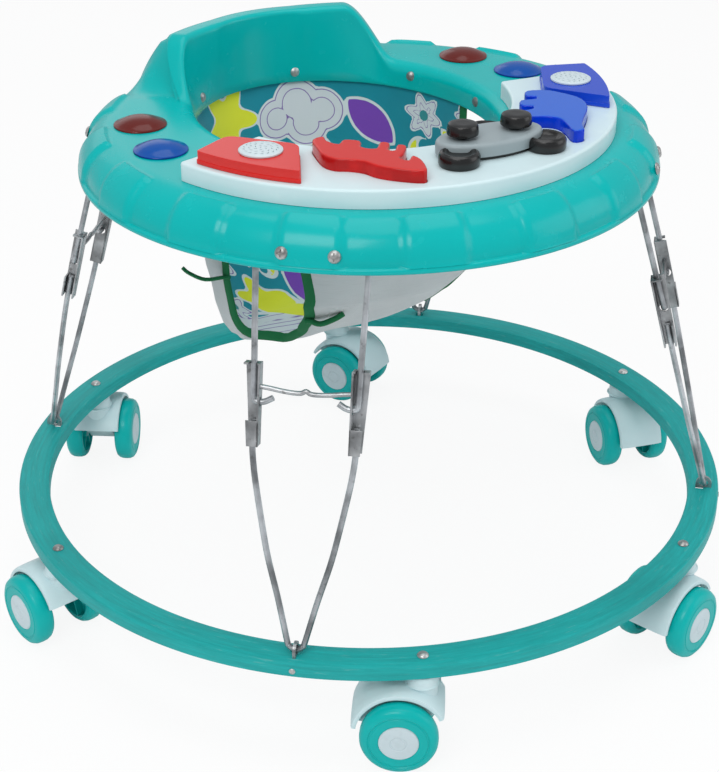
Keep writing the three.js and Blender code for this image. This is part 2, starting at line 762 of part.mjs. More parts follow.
const crocodileShares = [
  [-0.53, 0.02], [-0.5, 0.12], [-0.42, 0.06], [-0.31, 0.05], [-0.33, 0.15], [-0.21, 0.2], [-0.13, 0.1],
  [-0.02, 0.13], [-0.07, 0.26], [0, 0.29], [0.07, 0.17], [0.12, 0.18], [0.07, 0.29], [0.14, 0.31],
  [0.21, 0.17], [0.24, 0.07], [0.32, 0.06], [0.29, 0.16], [0.38, 0.14], [0.5, 0.03], [0.54, -0.06],
  [0.36, -0.14], [0.2, -0.17], [0.07, -0.15], [-0.05, -0.18], [-0.14, -0.23], [-0.26, -0.21], [-0.42, -0.09],
];
const elephantShares = [
  [-0.44, 0.02], [-0.36, 0.12], [-0.22, 0.23], [-0.05, 0.25], [0.12, 0.2], [0.28, 0.13], [0.42, 0.08],
  [0.54, 0.06], [0.56, -0.03], [0.4, -0.04], [0.27, -0.06], [0.2, -0.14], [0.17, -0.3], [0.04, -0.33],
  [0, -0.22], [-0.07, -0.2], [-0.1, -0.28], [-0.22, -0.26], [-0.24, -0.13], [-0.3, -0.12], [-0.33, -0.19],
  [-0.45, -0.15],
];
const scaledOutline = (shares, length) =>
  outlineOf(shares.map(([along, out]) => [along * length, out * length]));
const crocodileOutline = scaledOutline(crocodileShares, crocodileLength);
const elephantOutline = scaledOutline(elephantShares, elephantLength);
const onPanel = (geometry, inset, degrees, turn) => placed(geometry, panelOuterRadius - inset, degrees, turn);
const onCrocodile = (geometry) => onPanel(geometry, crocodileInset, crocodileAngle, crocodileTurnAngle);
const onElephant = (geometry) => onPanel(geometry, elephantInset, elephantAngle, elephantTurnAngle);
const onCar = (geometry) => onPanel(geometry, carInset, carAngle, carTurnAngle);

function toyPanel() {
  const innerAt = (degrees) => holeRadiusAt(degrees, holeRim + panelRimGap);
  const body = raised(bandOutline(innerAt, panelOuterRadius, -panelEndAngle, panelEndAngle, panelSteps),
    panelBase, panelTop, panelBevel);
  const endWall = THREE.MathUtils.radToDeg(2 * panelWall / panelOuterRadius);
  const hollow = extruded(
    bandOutline((degrees) => innerAt(degrees) + panelWall, panelOuterRadius - panelWall,
      endWall - panelEndAngle, panelEndAngle - endWall, panelSteps),
    panelTop - panelWall - panelBase + cutOverrun,
  ).translate(0, 0, panelBase - cutOverrun);
  const low = panelTop - panelWall - cutOverrun;
  const high = panelTop + cutOverrun;
  const knobHoles = knobShares.map((share) =>
    onCar(drum(knobStemRadius + slideGap, low, high, 12).translate(share * carLength, 0, 0)));
  addMesh(walker, 'toy_panel', cut(body, hollow,
    onCrocodile(grown(crocodileOutline, slideGap, low, high)),
    onElephant(grown(elephantOutline, slideGap, low, high)),
    ...knobHoles), panelWhite);
}

function soundModule() {
  const board = box(-moduleLength / 2, moduleLength / 2, -moduleWidth / 2, moduleWidth / 2,
    panelBase, panelBase + moduleHeight).translate(0, moduleInset - panelOuterRadius, 0);
  addMesh(walker, 'sound_module', board, boardGrey);
}

function pushKeys() {
  const key = (outline) => raised(outline, panelTop - keyDepth, panelTop + keyRise, keyBevel);
  addMesh(walker, 'crocodile_key', onCrocodile(key(crocodileOutline)), clearRed);
  addMesh(walker, 'elephant_key', onElephant(key(elephantOutline)), clearBlue);
}

function musicBlocks() {
  const bottom = panelTop + seatGap;
  const top = bottom + blockRise;
  for (const [name, sign, material] of [['red', -1, clearRed], ['blue', 1, clearBlue]]) {
    const outer = [];
    const steps = 6;
    for (let i = 0; i <= steps; i += 1) {
      outer.push(polar(panelOuterRadius - blockOuterInset, sign * lerp(...blockOuterAngles, i / steps)));
    }
    const inner = [1, 0].map((i) =>
      polar(panelOuterRadius - blockInnerInsets[i], sign * blockInnerAngles[i]));
    const block = raised(outlineOf([...outer, ...inner]), bottom, top, blockBevel);
    addMesh(walker, `${name}_music_block`, block, material);
    const grille = drum(grilleRadius, top + seatGap, top + seatGap + grilleRise, 20);
    onPanel(grille, grilleInset, sign * grilleAngle);
    addMesh(walker, `${name}_speaker_grille`, grille, panelWhite);
  }
}

// Toy car: a grey body on a plate that holds three half-round tyres, and two knobs that press down
function toyCar() {
  const base = panelTop + seatGap;
  const plateTop = base + carPlateThickness;
  const bodyBase = plateTop + seatGap;
  const bodyTop = base + carRise;
  const oval = (share) => {
    const outline = new THREE.Shape();
    outline.absellipse(0, 0, (share * carLength) / 2, (share * carWidth) / 2, 0, 2 * Math.PI, false);
    return outline;
  };
  const stemHoles = knobShares.map((share) =>
    drum(knobStemRadius + slideGap, base - cutOverrun, bodyTop + cutOverrun, 12)
      .translate(share * carLength, 0, 0));
  const bodySpace = grown(oval(1), slideGap, plateTop, bodyTop + cutOverrun);
  const tyres = tyreShares.map(([along, out]) => drum(tyreRadius, base, base + tyreRise, 18)
    .translate(along * carLength, out * carWidth, 0));
  const plate = extruded(oval(carPlateShare), carPlateThickness, 10).translate(0, 0, base);
  addMesh(walker, 'toy_car_tyres', onCar(cut(join(plate, ...tyres), bodySpace, ...stemHoles)), black);
  const body = cut(raised(oval(1), bodyBase, bodyTop, carBevel, 10), ...stemHoles);
  addMesh(walker, 'toy_car_body', onCar(body), carGrey);
  const knobBase = bodyTop + keyTravel + seatGap;
  const stemFoot = panelTop - panelWall - keyTravel;
  knobShares.forEach((share, i) => {
    const knob = turned([
      [0, knobBase + knobRise], [knobRadius * 0.85, knobBase + knobRise],
      [knobRadius, knobBase + knobRise * 0.8], [knobRadius, knobBase],
      [knobStemRadius, knobBase], [knobStemRadius, stemFoot], [0, stemFoot],
    ], 16).translate(share * carLength, 0, 0);
    addMesh(walker, `toy_car_knob_${i + 1}`, onCar(knob), black);
  });
}

function domes() {
  const profile = [[0, 1], [0.35, 0.93], [0.7, 0.66], [0.92, 0.3]].map(([radiusShare, riseShare]) =>
    [domeRadius * radiusShare, panelBase + domeRise * riseShare]);
  profile.push([domeRadius, panelBase + domeFlange], [domeRadius, panelBase], [0, panelBase]);
  for (const [side, sign] of [['left', -1], ['right', 1]]) {
    const red = placed(turned(profile, 14), trayRadius - redDomeInset, sign * redDomeAngle);
    const blue = placed(turned(profile, 14), trayRadius - blueDomeInset, sign * blueDomeAngle);
    addMesh(walker, `red_dome_${side}`, red, darkRed);
    addMesh(walker, `blue_dome_${side}`, blue, darkBlue);
  }
}

// Cloth seat: a bag hung inside the hole, with an opening for a leg cut from each side up to the rim
const seatShareAt = (height) => {
  const depthShare = (clothTop - height) / (clothTop - seatBottom);
  const i = Math.max(1, seatShares.findIndex(([depth]) => depth >= depthShare));
  const [from, to] = [seatShares[i - 1], seatShares[i]];
  const step = mapLinear(depthShare, from[0], to[0], 0, 1);
  const lengthShare = lerp(from[2], to[2], step);
  return [lerp(from[1], to[1], step), lengthShare, lerp(seatBottomShift, holeShift, lengthShare)];
};

function seatPoint(turn, height, inset) {
  const angle = turn * 2 * Math.PI;
  const [widthShare, lengthShare, middle] = seatShareAt(height);
  const lean = height > holeEdge ? (clothLean * (height - holeEdge)) / (clothTop - holeEdge) : 0;
  const fold = height < holeEdge ? seatFoldDepth * (1 - widthShare) * 4 * Math.cos(seatFolds * angle) : 0;
  const out = trayWall + clothGap + clothThickness + lean - inset;
  const halfWidth = (holeHalfWidth + out) * widthShare + fold;
  const halfLength = (holeHalfLength + out) * lengthShare + fold;
  return [halfWidth * Math.cos(angle), middle + halfLength * Math.sin(angle), height];
}

function seatBag() {
  const heights = seatShares.map(([depthShare]) => lerp(clothTop, seatBottom, depthShare));
  const outer = heights.map((height) => [height, 0]);
  const inner = heights.map((height) => [Math.max(height, seatBottom), clothThickness]);
  const rings = [...outer.reverse(), ...inner].map(([height, inset], j) => {
    const lift = inset > 0 ? (clothThickness * (clothTop - height)) / (clothTop - seatBottom) : 0;
    const ring = [];
    for (let i = 0; i < seatTurns; i += 1) {
      const [x, y] = seatPoint(i / seatTurns, height, inset);
      ring.push([x, y, height + lift]);
    }
    return ring;
  });
  const points = rings.flat();
  points.push([0, seatBottomShift, seatBottom], [0, seatBottomShift, seatBottom + clothThickness]);
  const index = [];
  const last = rings.length - 1;
  for (let i = 0; i < seatTurns; i += 1) {
    const next = (i + 1) % seatTurns;
    for (let j = 0; j < last; j += 1) {
      index.push(j * seatTurns + i, j * seatTurns + next, (j + 1) * seatTurns + next);
      index.push(j * seatTurns + i, (j + 1) * seatTurns + next, (j + 1) * seatTurns + i);
    }
    index.push(points.length - 2, next, i);
    index.push(points.length - 1, last * seatTurns + i, last * seatTurns + next);
  }
  const bag = new THREE.BufferGeometry();
  bag.setAttribute('position', new THREE.Float32BufferAttribute(points.flat(), 3));
  bag.setIndex(index);
  return bag;
}

// The opening's edge moved out by a margin
const legHoleAt = (margin) => legHoleEdge.map(([place, rise], i) => {
  const before = legHoleEdge[Math.max(i - 1, 0)];
  const after = legHoleEdge[Math.min(i + 1, legHoleEdge.length - 1)];
  const along = new THREE.Vector2(after[0] - before[0], after[1] - before[1]).normalize();
  return new THREE.Vector2(place - along.y * margin, seatBottom + rise + along.x * margin);
});

function seatSling() {
  const edge = legHoleAt(tapeRadius + seatGap);
  const high = clothTop + cutOverrun;
  const arch = new THREE.Shape([
    new THREE.Vector2(edge[0].x, high), ...edge, new THREE.Vector2(edge.at(-1).x, high),
  ]);
  const hole = extruded(arch, holeHalfWidth, 1).rotateX(Math.PI / 2).rotateZ(Math.PI / 2);
  addMesh(walker, 'seat_sling', cut(seatBag(),
    hole.clone().translate(legHoleReach, 0, 0),
    hole.clone().translate(-legHoleReach - holeHalfWidth, 0, 0)), cloth);
}

// Binding tape: a hoop round the seat's top, and a loop down round each leg opening
function seatBinding() {
  const hoopInner = trayWall + clothGap + clothThickness + clothLean + seatGap;
  const hoopTop = clothTop - seatGap;
  const onEllipse = (y, height, out, [widthShare, lengthShare, middle]) => {
    const along = (y - middle) / ((holeHalfLength + out) * lengthShare);
    const x = (holeHalfWidth + out) * widthShare * Math.sqrt(Math.max(0, 1 - along * along));
    return new THREE.Vector3(Math.max(x, legHoleReach + tapeRadius), y, height);
  };
  const onSeat = (y, height) =>
    onEllipse(y, height, trayWall + clothGap + clothThickness / 2, seatShareAt(height));
  const onHoop = (y) =>
    onEllipse(y, hoopTop - tapeWidth / 2, hoopInner + tapeThickness / 2, [1, 1, holeShift]);
  const edge = legHoleAt(0);
  const side = [onHoop(edge[0].x), ...edge.map((point) => onSeat(point.x, point.y)), onHoop(edge.at(-1).x)];
  const loop = rod(side, tapeRadius);
  const hoopOuter = hoopInner + tapeThickness;
  const hoop = new THREE.Shape();
  hoop.absellipse(0, 0, holeHalfWidth + hoopOuter, holeHalfLength + hoopOuter, 0, 2 * Math.PI);
  const hoopHole = new THREE.Path();
  hoopHole.absellipse(0, 0, holeHalfWidth + hoopInner, holeHalfLength + hoopInner, 0, 2 * Math.PI, true);
  hoop.holes.push(hoopHole);
  const band = extruded(hoop, tapeWidth, seatTurns / 2).translate(0, holeShift, hoopTop - tapeWidth);
  addMesh(walker, 'seat_binding', join(band, loop, loop.clone().scale(-1, 1, 1)), tapeGreen);
}

baseRing();
casterAngles.forEach((degrees, i) => caster(i + 1, degrees, casterTrailAngles[i]));
legAngles.forEach((degrees, i) => leg(i + 1, degrees));
trayShell();
toyPanel();
soundModule();
pushKeys();
musicBlocks();
toyCar();
domes();
seatSling();
seatBinding();

export default walker;
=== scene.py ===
"""Looks of a folding baby walker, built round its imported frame. Sizes here are in millimetres
until a piece is made, and the compass angles run from the front, seen from above."""

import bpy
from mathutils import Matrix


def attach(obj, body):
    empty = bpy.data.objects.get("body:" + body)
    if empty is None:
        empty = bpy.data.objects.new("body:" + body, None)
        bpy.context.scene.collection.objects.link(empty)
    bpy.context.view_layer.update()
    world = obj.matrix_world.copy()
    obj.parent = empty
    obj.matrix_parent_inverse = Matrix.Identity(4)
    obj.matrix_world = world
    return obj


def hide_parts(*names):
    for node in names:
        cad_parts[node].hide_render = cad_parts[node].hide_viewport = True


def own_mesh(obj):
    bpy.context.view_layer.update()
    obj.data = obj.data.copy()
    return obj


bl_info = {
    "name": "Baby Walker Looks",
    "version": (1, 0, 0),
    "blender": (4, 5, 0),
    "location": "3D View > Sidebar > Walker",
    "description": "Builds the looks of a folding baby walker round its packed frame",
    "category": "Object",
}

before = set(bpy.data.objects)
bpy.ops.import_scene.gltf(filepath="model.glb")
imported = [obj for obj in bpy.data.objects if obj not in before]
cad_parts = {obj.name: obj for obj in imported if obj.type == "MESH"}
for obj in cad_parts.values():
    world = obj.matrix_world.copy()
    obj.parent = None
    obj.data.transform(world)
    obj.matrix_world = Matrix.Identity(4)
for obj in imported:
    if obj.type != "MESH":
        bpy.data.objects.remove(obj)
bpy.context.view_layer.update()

import math

import bmesh
import bpy
from mathutils import Matrix, Vector, noise

MM = 0.001
WELD = 0.001
GAP = 0.3

# Places of the frame
WHEEL_RADIUS = 31
AXLE_Z = WHEEL_RADIUS * math.cos(math.pi / 16)
RING_BOTTOM = AXLE_Z + 48
RING_TOP = RING_BOTTOM + 12
RING_OUTER = 320
RING_WIDTH = 27
RING_MID = RING_OUTER - RING_WIDTH / 2
FOOT_Z = RING_TOP + 4
SKIRT_Z = RING_TOP + 292.6
TRAY_Z = SKIRT_Z + 35.5
HOLE_Z = TRAY_Z - 23.5
BACKREST_Z = TRAY_Z + 44.5
CLOTH_Z = HOLE_Z + 8
SEAT_Z = HOLE_Z - 176
TRAY_RADIUS = 241
TIP_RADIUS = TRAY_RADIUS - 16.5
TIP_Z = SKIRT_Z + 6.4
KNEE_RADIUS = RING_MID + (TIP_RADIUS - RING_MID) * 0.606
KNEE_Z = FOOT_Z + (TIP_Z - FOOT_Z) * 0.634
LOWER_LENGTH = math.hypot(RING_MID - KNEE_RADIUS, KNEE_Z - FOOT_Z)
LOWER_TILT = math.atan2(RING_MID - KNEE_RADIUS, KNEE_Z - FOOT_Z)
UPPER_LENGTH = math.hypot(KNEE_RADIUS - TIP_RADIUS, TIP_Z - KNEE_Z)
UPPER_TILT = math.atan2(KNEE_RADIUS - TIP_RADIUS, TIP_Z - KNEE_Z)
LEG_ANGLES = (-45, 45, 135, -135)
STEM_ANGLES = (-26.6, 26.4, 87.9, 152, -151.2, -93.6)
TRAIL_ANGLES = (-127.5, -75.5, -17.5, 24, 142, -173.5)
CASTER_TRAIL = 17
PANEL_OUTER = TRAY_RADIUS - 36
PANEL_Z = TRAY_Z + 15
HOLE_HALF_WIDTH = 122
HOLE_HALF_LENGTH = 146
HOLE_SHIFT = 36
LEG_HOLE_REACH = 56
# A leg opening's edge, as places along the walker and heights over the seat's bottom
LEG_HOLE_EDGE = (
    (36, 181), (36, 140), (36, 90), (36, 50), (34, 30), (28, 15), (20, 8), (10, 11), (1, 17),
    (-9, 24.5), (-17, 32), (-32, 48), (-41, 62), (-46, 76), (-47, 110), (-47, 140), (-47, 181),
)
# Depth, and the shares of the hole's width and length that the cloth keeps there
SEAT_SHARES = (
    (0, 1, 1), (0.04, 1, 1), (0.35, 0.99, 0.92), (0.65, 0.96, 0.76), (0.82, 0.92, 0.55),
    (0.93, 0.87, 0.38), (0.985, 0.82, 0.28), (1, 0.76, 0.18),
)
SEAT_BOTTOM_SHIFT = 60
WHEEL_OFFSET = 25
BACKREST_INNER_RADIUS = 183
BACKREST_THICKNESS = 13
BACKREST_WALL_TILT = 38
BACKREST_LEAST_LEAN = 4
BACKREST_RIM_ROUND = 5.5
TRAY_WALL = 3.0
PRESSED_PANELS = 16
# Compass angle and height of each rivet inside the seat hole
RIVETS = (
    (168, 404.5), (130.3, 408), (94, 406), (58, 405), (22, 405), (-14, 405), (-50, 405), (-84, 405),
    (-119, 406), (-155, 406),
)
RIVET_SHARE = 0.17
# Outlines of the two keys, as shares of their length
CROCODILE = (
    (-0.53, 0.02), (-0.5, 0.12), (-0.42, 0.06), (-0.31, 0.05), (-0.33, 0.15), (-0.21, 0.2), (-0.13, 0.1),
    (-0.02, 0.13), (-0.07, 0.26), (0, 0.29), (0.07, 0.17), (0.12, 0.18), (0.07, 0.29), (0.14, 0.31),
    (0.21, 0.17), (0.24, 0.07), (0.32, 0.06), (0.29, 0.16), (0.38, 0.14), (0.5, 0.03), (0.54, -0.06),
    (0.36, -0.14), (0.2, -0.17), (0.07, -0.15), (-0.05, -0.18), (-0.14, -0.23), (-0.26, -0.21),
    (-0.42, -0.09),
)
ELEPHANT = (
    (-0.44, 0.02), (-0.36, 0.12), (-0.22, 0.23), (-0.05, 0.25), (0.12, 0.2), (0.28, 0.13), (0.42, 0.08),
    (0.54, 0.06), (0.56, -0.03), (0.4, -0.04), (0.27, -0.06), (0.2, -0.14), (0.17, -0.3), (0.04, -0.33),
    (0, -0.22), (-0.07, -0.2), (-0.1, -0.28), (-0.22, -0.26), (-0.24, -0.13), (-0.3, -0.12), (-0.33, -0.19),
    (-0.45, -0.15),
)


class WalkerSizes(bpy.types.PropertyGroup):
    """Sizes of the looks that can change without the frame."""

    pressed_depth: bpy.props.FloatProperty(
        name="Pressed depth", description="How far the raised panels of the tray's edge stand out",
        default=3.2 * MM, unit="LENGTH")
    rim_round: bpy.props.FloatProperty(
        name="Rim round", description="Radius of the rounding at the seat hole's rim",
        default=10.5 * MM, unit="LENGTH")
    wire_radius: bpy.props.FloatProperty(
        name="Wire radius", description="Radius of the leg wire", default=2.4 * MM, unit="LENGTH")
    cloth_thickness: bpy.props.FloatProperty(
        name="Cloth thickness", description="Thickness of the seat's cloth", default=1.6 * MM, unit="LENGTH")
    cloth_fold: bpy.props.FloatProperty(
        name="Cloth folds", description="Height of the soft folds in the seat",
        default=3.2 * MM, unit="LENGTH")
    tape_width: bpy.props.FloatProperty(
        name="Tape width", description="Width of the folded binding tape", default=9.5 * MM, unit="LENGTH")
    motif_scale: bpy.props.FloatProperty(
        name="Motif scale", description="Size of the print's motifs, as a share of the drawn size",
        default=1.3)
    hub_radius: bpy.props.FloatProperty(
        name="Hub radius", description="Radius of the wheels' hub discs", default=15.8 * MM, unit="LENGTH")


def colour_property(label, about, default):
    return bpy.props.FloatVectorProperty(
        name=label, description=about, subtype="COLOR", size=3, min=0, max=1, default=default)


class WalkerColours(bpy.types.PropertyGroup):
    """Colours of the looks, as linear values."""

    tray: colour_property("Tray", "Glossy teal of the tray", (0.0, 0.46, 0.45))
    ring: colour_property("Ring", "Grained teal of the base ring", (0.012, 0.39, 0.38))
    wheel: colour_property("Wheels", "Teal of the caster wheels", (0.0, 0.47, 0.45))
    white: colour_property("White plastic", "Cool white of forks, hubs and panel", (0.66, 0.82, 0.85))
    # Red and blue are the walls' colour of the clear plastic, painted brighter than its flat top as light
    # through it.
    red: colour_property("Clear red", "Red of the block and the crocodile", (0.72, 0.014, 0.014))
    blue: colour_property("Clear blue", "Blue of the block and the elephant", (0.005, 0.06, 0.62))
    cloth_ground: colour_property("Cloth ground", "Ground colour of the seat's print", (0.0, 0.27, 0.36))
    tape: colour_property("Tape", "Green of the binding tape", (0.004, 0.15, 0.065))


def mm_of(name):
    return getattr(bpy.context.scene.walker_sizes, name) / MM


def polar(radius, degrees):
    angle = math.radians(degrees)
    return radius * math.sin(angle), -radius * math.cos(angle)


def lerp(a, b, share):
    return a + (b - a) * share


def smooth_step(value, low, high):
    share = min(1.0, max(0.0, (value - low) / (high - low)))
    return share * share * (3 - 2 * share)


def turn(degrees, axis="Z"):
    return Matrix.Rotation(math.radians(degrees), 4, axis)


def shift(x=0.0, y=0.0, z=0.0):
    return Matrix.Translation((x, y, z))


def lower_frame(degrees):
    return turn(degrees) @ shift(0, -RING_MID, FOOT_Z) @ Matrix.Rotation(-LOWER_TILT, 4, "X")


def upper_frame(degrees):
    return turn(degrees) @ shift(0, -KNEE_RADIUS, KNEE_Z) @ Matrix.Rotation(-UPPER_TILT, 4, "X")


def swivel_frame(index):
    x, y = polar(RING_MID, STEM_ANGLES[index])
    return shift(x, y) @ turn(TRAIL_ANGLES[index] - 90)


def panel_frame(inset, degrees, own_turn):
    return turn(degrees) @ shift(0, inset - PANEL_OUTER) @ turn(own_turn)


# Shapes

def faced_out(bm):
    bmesh.ops.recalc_face_normals(bm, faces=bm.faces)


def verts_of(geom):
    return [g for g in geom if isinstance(g, bmesh.types.BMVert)]


def merged(*parts):
    """One bmesh from several, each alone or in a pair with its matrix."""
    whole = bmesh.new()
    for part in parts:
        shape, matrix = part if isinstance(part, tuple) else (part, Matrix())
        mesh = bpy.data.meshes.new("part")
        shape.to_mesh(mesh)
        mesh.transform(matrix)
        whole.from_mesh(mesh)
        bpy.data.meshes.remove(mesh)
    return whole


def moved(shape, matrix):
    return merged((shape, matrix))


def linked(name, data):
    obj = bpy.data.objects.new(name, data)
    bpy.context.scene.collection.objects.link(obj)
    return obj


def full_spin(bm, geom, steps):
    bmesh.ops.spin(bm, geom=geom, cent=(0, 0, 0), axis=(0, 0, 1), angle=2 * math.pi, steps=steps,
                   use_merge=True)


def turned(profile, segments=48, closed=False):
    """A shape spun round Z from a list of radius and height."""
    bm = bmesh.new()
    verts = [bm.verts.new((radius, 0, height)) for radius, height in profile]
    edges = [bm.edges.new(pair) for pair in zip(verts, verts[1:])]
    if closed:
        edges.append(bm.edges.new((verts[-1], verts[0])))
    full_spin(bm, verts + edges, segments)
    bmesh.ops.remove_doubles(bm, verts=bm.verts, dist=WELD)
    return bm


def prism(outline, bottom, top):
    bm = bmesh.new()
    face = bm.faces.new([bm.verts.new((x, y, bottom)) for x, y in outline])
    grown = bmesh.ops.extrude_face_region(bm, geom=[face])["geom"]
    bmesh.ops.translate(bm, vec=(0, 0, top - bottom), verts=verts_of(grown))
    faced_out(bm)
    return bm


def bevelled(bm, edges, width, segments=2):
    bmesh.ops.bevel(bm, geom=edges, offset=width, segments=segments, profile=0.5, affect="EDGES",
                    material=-1, clamp_overlap=True)
    return bm


def rounded(bm, height, width, segments=3):
    """Rounds the edges that lie at a height, all round."""
    edges = [e for e in bm.edges if all(abs(v.co.z - height) < WELD for v in e.verts)]
    return bevelled(bm, edges, width, segments)


def slab(outline, bottom, top, width, segments=4):
    return rounded(prism(outline, bottom, top), top, width, segments)


def plain_object(bm):
    faced_out(bm)
    mesh = bpy.data.meshes.new("shape")
    bm.to_mesh(mesh)
    return linked("shape", mesh)


def carved(bm, *cutters):
    """The bmesh with the cutters taken out of it."""
    body, tool = plain_object(bm), plain_object(merged(*cutters))
    cut = body.modifiers.new("cut", "BOOLEAN")
    cut.operation = "DIFFERENCE"
    cut.solver = "EXACT"
    cut.object = tool
    mesh = bpy.data.meshes.new_from_object(body.evaluated_get(bpy.context.evaluated_depsgraph_get()))
    result = bmesh.new()
    result.from_mesh(mesh)
    for obj in (body, tool):
        bpy.data.meshes.remove(obj.data)
    return result


def loft(frames, section, closed=False):
    """A section of x and y carried through a list of frames."""
    bm = bmesh.new()
    station = bm.verts.layers.int.new("station")
    ring = [bm.verts.new(frames[0] @ Vector((x, y, 0))) for x, y in section]
    for i, vert in enumerate(ring):
        vert[station] = i
    edges = [bm.edges.new((ring[i - 1], ring[i])) for i in range(len(ring))]
    first = list(edges)
    for matrix in frames[1:]:
        grown = bmesh.ops.extrude_edge_only(bm, edges=edges)["geom"]
        edges = [g for g in grown if isinstance(g, bmesh.types.BMEdge) and g.is_boundary]
        for vert in verts_of(grown):
            x, y = section[vert[station]]
            vert.co = matrix @ Vector((x, y, 0))
    if closed:
        bmesh.ops.bridge_loops(bm, edges=first + edges)
    else:
        bmesh.ops.contextual_create(bm, geom=first)
        bmesh.ops.contextual_create(bm, geom=edges)
    return bm


def frames_along(points, normals=None):
    """A frame at each point, with Z along the line and X on the normal."""
    frames = []
    normal = None
    for i, point in enumerate(points):
        tangent = (points[min(i + 1, len(points) - 1)] - points[max(i - 1, 0)]).normalized()
        if normals is not None:
            normal = normals[i]
        elif normal is None:
            normal = tangent.orthogonal()
        normal = (normal - tangent * normal.dot(tangent)).normalized()
        matrix = Matrix((normal, tangent.cross(normal), tangent)).transposed().to_4x4()
        matrix.translation = point
        frames.append(matrix)
    return frames


def ellipse(half_x, half_y, count):
    return [(half_x * math.cos(2 * math.pi * i / count), half_y * math.sin(2 * math.pi * i / count))
            for i in range(count)]


def circle(radius, count):
    return ellipse(radius, radius, count)


def arc(radius, angles):
    """Points at angles in degrees, counted from X."""
    return [(radius * math.cos(math.radians(a)), radius * math.sin(math.radians(a))) for a in angles]


def rectangle(left, right, front, back):
    return [(left, front), (right, front), (right, back), (left, back)]


def tube(points, radius, sides=14):
    return loft(frames_along(points), circle(radius, sides))


def spline(points, steps=4, closed=False):
    """A smooth line through points of any size."""
    count = len(points)
    made = []
    for i in range(count if closed else count - 1):
        if closed:
            p = [Vector(points[(i + k) % count]) for k in (-1, 0, 1, 2)]
        else:
            p = [Vector(points[min(max(i + k, 0), count - 1)]) for k in (-1, 0, 1, 2)]
        for j in range(steps):
            t = j / steps
            made.append(0.5 * (
                (2 * p[1]) + (p[2] - p[0]) * t + (2 * p[0] - 5 * p[1] + 4 * p[2] - p[3]) * t * t
                + (3 * p[1] - p[0] - 3 * p[2] + p[3]) * t ** 3))
    if not closed:
        made.append(Vector(points[-1]))
    return made


def cornered(points, radius, steps=5):
    """A line through points, with each inner corner made an arc-like bend."""
    made = [points[0]]
    for i in range(1, len(points) - 1):
        here = points[i]
        back, ahead = (points[i - 1] - here), (points[i + 1] - here)
        reach = min(radius, 0.45 * back.length, 0.45 * ahead.length)
        start, end = here + back.normalized() * reach, here + ahead.normalized() * reach
        for j in range(steps + 1):
            t = j / steps
            made.append(start * (1 - t) ** 2 + here * 2 * t * (1 - t) + end * t * t)
    made.append(points[-1])
    return made


def rounded_outline(line, radius):
    """A closed line with bends for corners, from the middle of its last side."""
    middle = (line[0] + line[-1]) / 2
    return cornered([middle, *line, middle], radius)[:-1]


def piece(name, bm, body, slot, looks, *nodes, sharp=32):
    """Makes a mesh object of a shape in millimetres, on its body and with its looks."""
    bmesh.ops.remove_doubles(bm, verts=bm.verts, dist=2 * WELD)
    faced_out(bm)
    bmesh.ops.scale(bm, vec=(MM, MM, MM), verts=bm.verts)
    limit = math.radians(sharp)
    for face in bm.faces:
        face.smooth = len(face.verts) <= 4
    for edge in bm.edges:
        edge.smooth = len(edge.link_faces) == 2 and edge.calc_face_angle(0) < limit
    mesh = bpy.data.meshes.new(name)
    bm.to_mesh(mesh)
    bm.free()
    obj = linked(name, mesh)
    for look in [looks] if isinstance(looks, str) else looks:
        mesh.materials.append(material_of(look))
    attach(obj, body)
    if nodes:
        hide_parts(*nodes)
    return obj


# Materials

class Link:
    """A node's output that takes Python arithmetic."""

    def __init__(self, nodes, socket):
        self.nodes = nodes
        self.socket = socket

    def __add__(self, other):
        return self.nodes.maths("ADD", self, other)

    def __sub__(self, other):
        return self.nodes.maths("SUBTRACT", self, other)

    def __rsub__(self, other):
        return self.nodes.maths("SUBTRACT", other, self)

    def __mul__(self, other):
        return self.nodes.maths("MULTIPLY", self, other)

    __radd__ = __add__
    __rmul__ = __mul__


class Nodes:
    """A node tree, with arithmetic on its values."""

    def __init__(self, tree):
        self.tree = tree

    def node(self, kind, inputs=None, out=0, **settings):
        node = self.tree.nodes.new(f"ShaderNode{kind}")
        for key, value in settings.items():
            setattr(node, key, value)
        for key, value in (inputs or {}).items():
            self.feed(node.inputs[key], value)
        return Link(self, node.outputs[out])

    def feed(self, socket, value):
        if isinstance(value, Link):
            self.tree.links.new(value.socket, socket)
        else:
            socket.default_value = value

    def maths(self, operation, *values):
        return self.node("Math", dict(enumerate(values)), operation=operation)


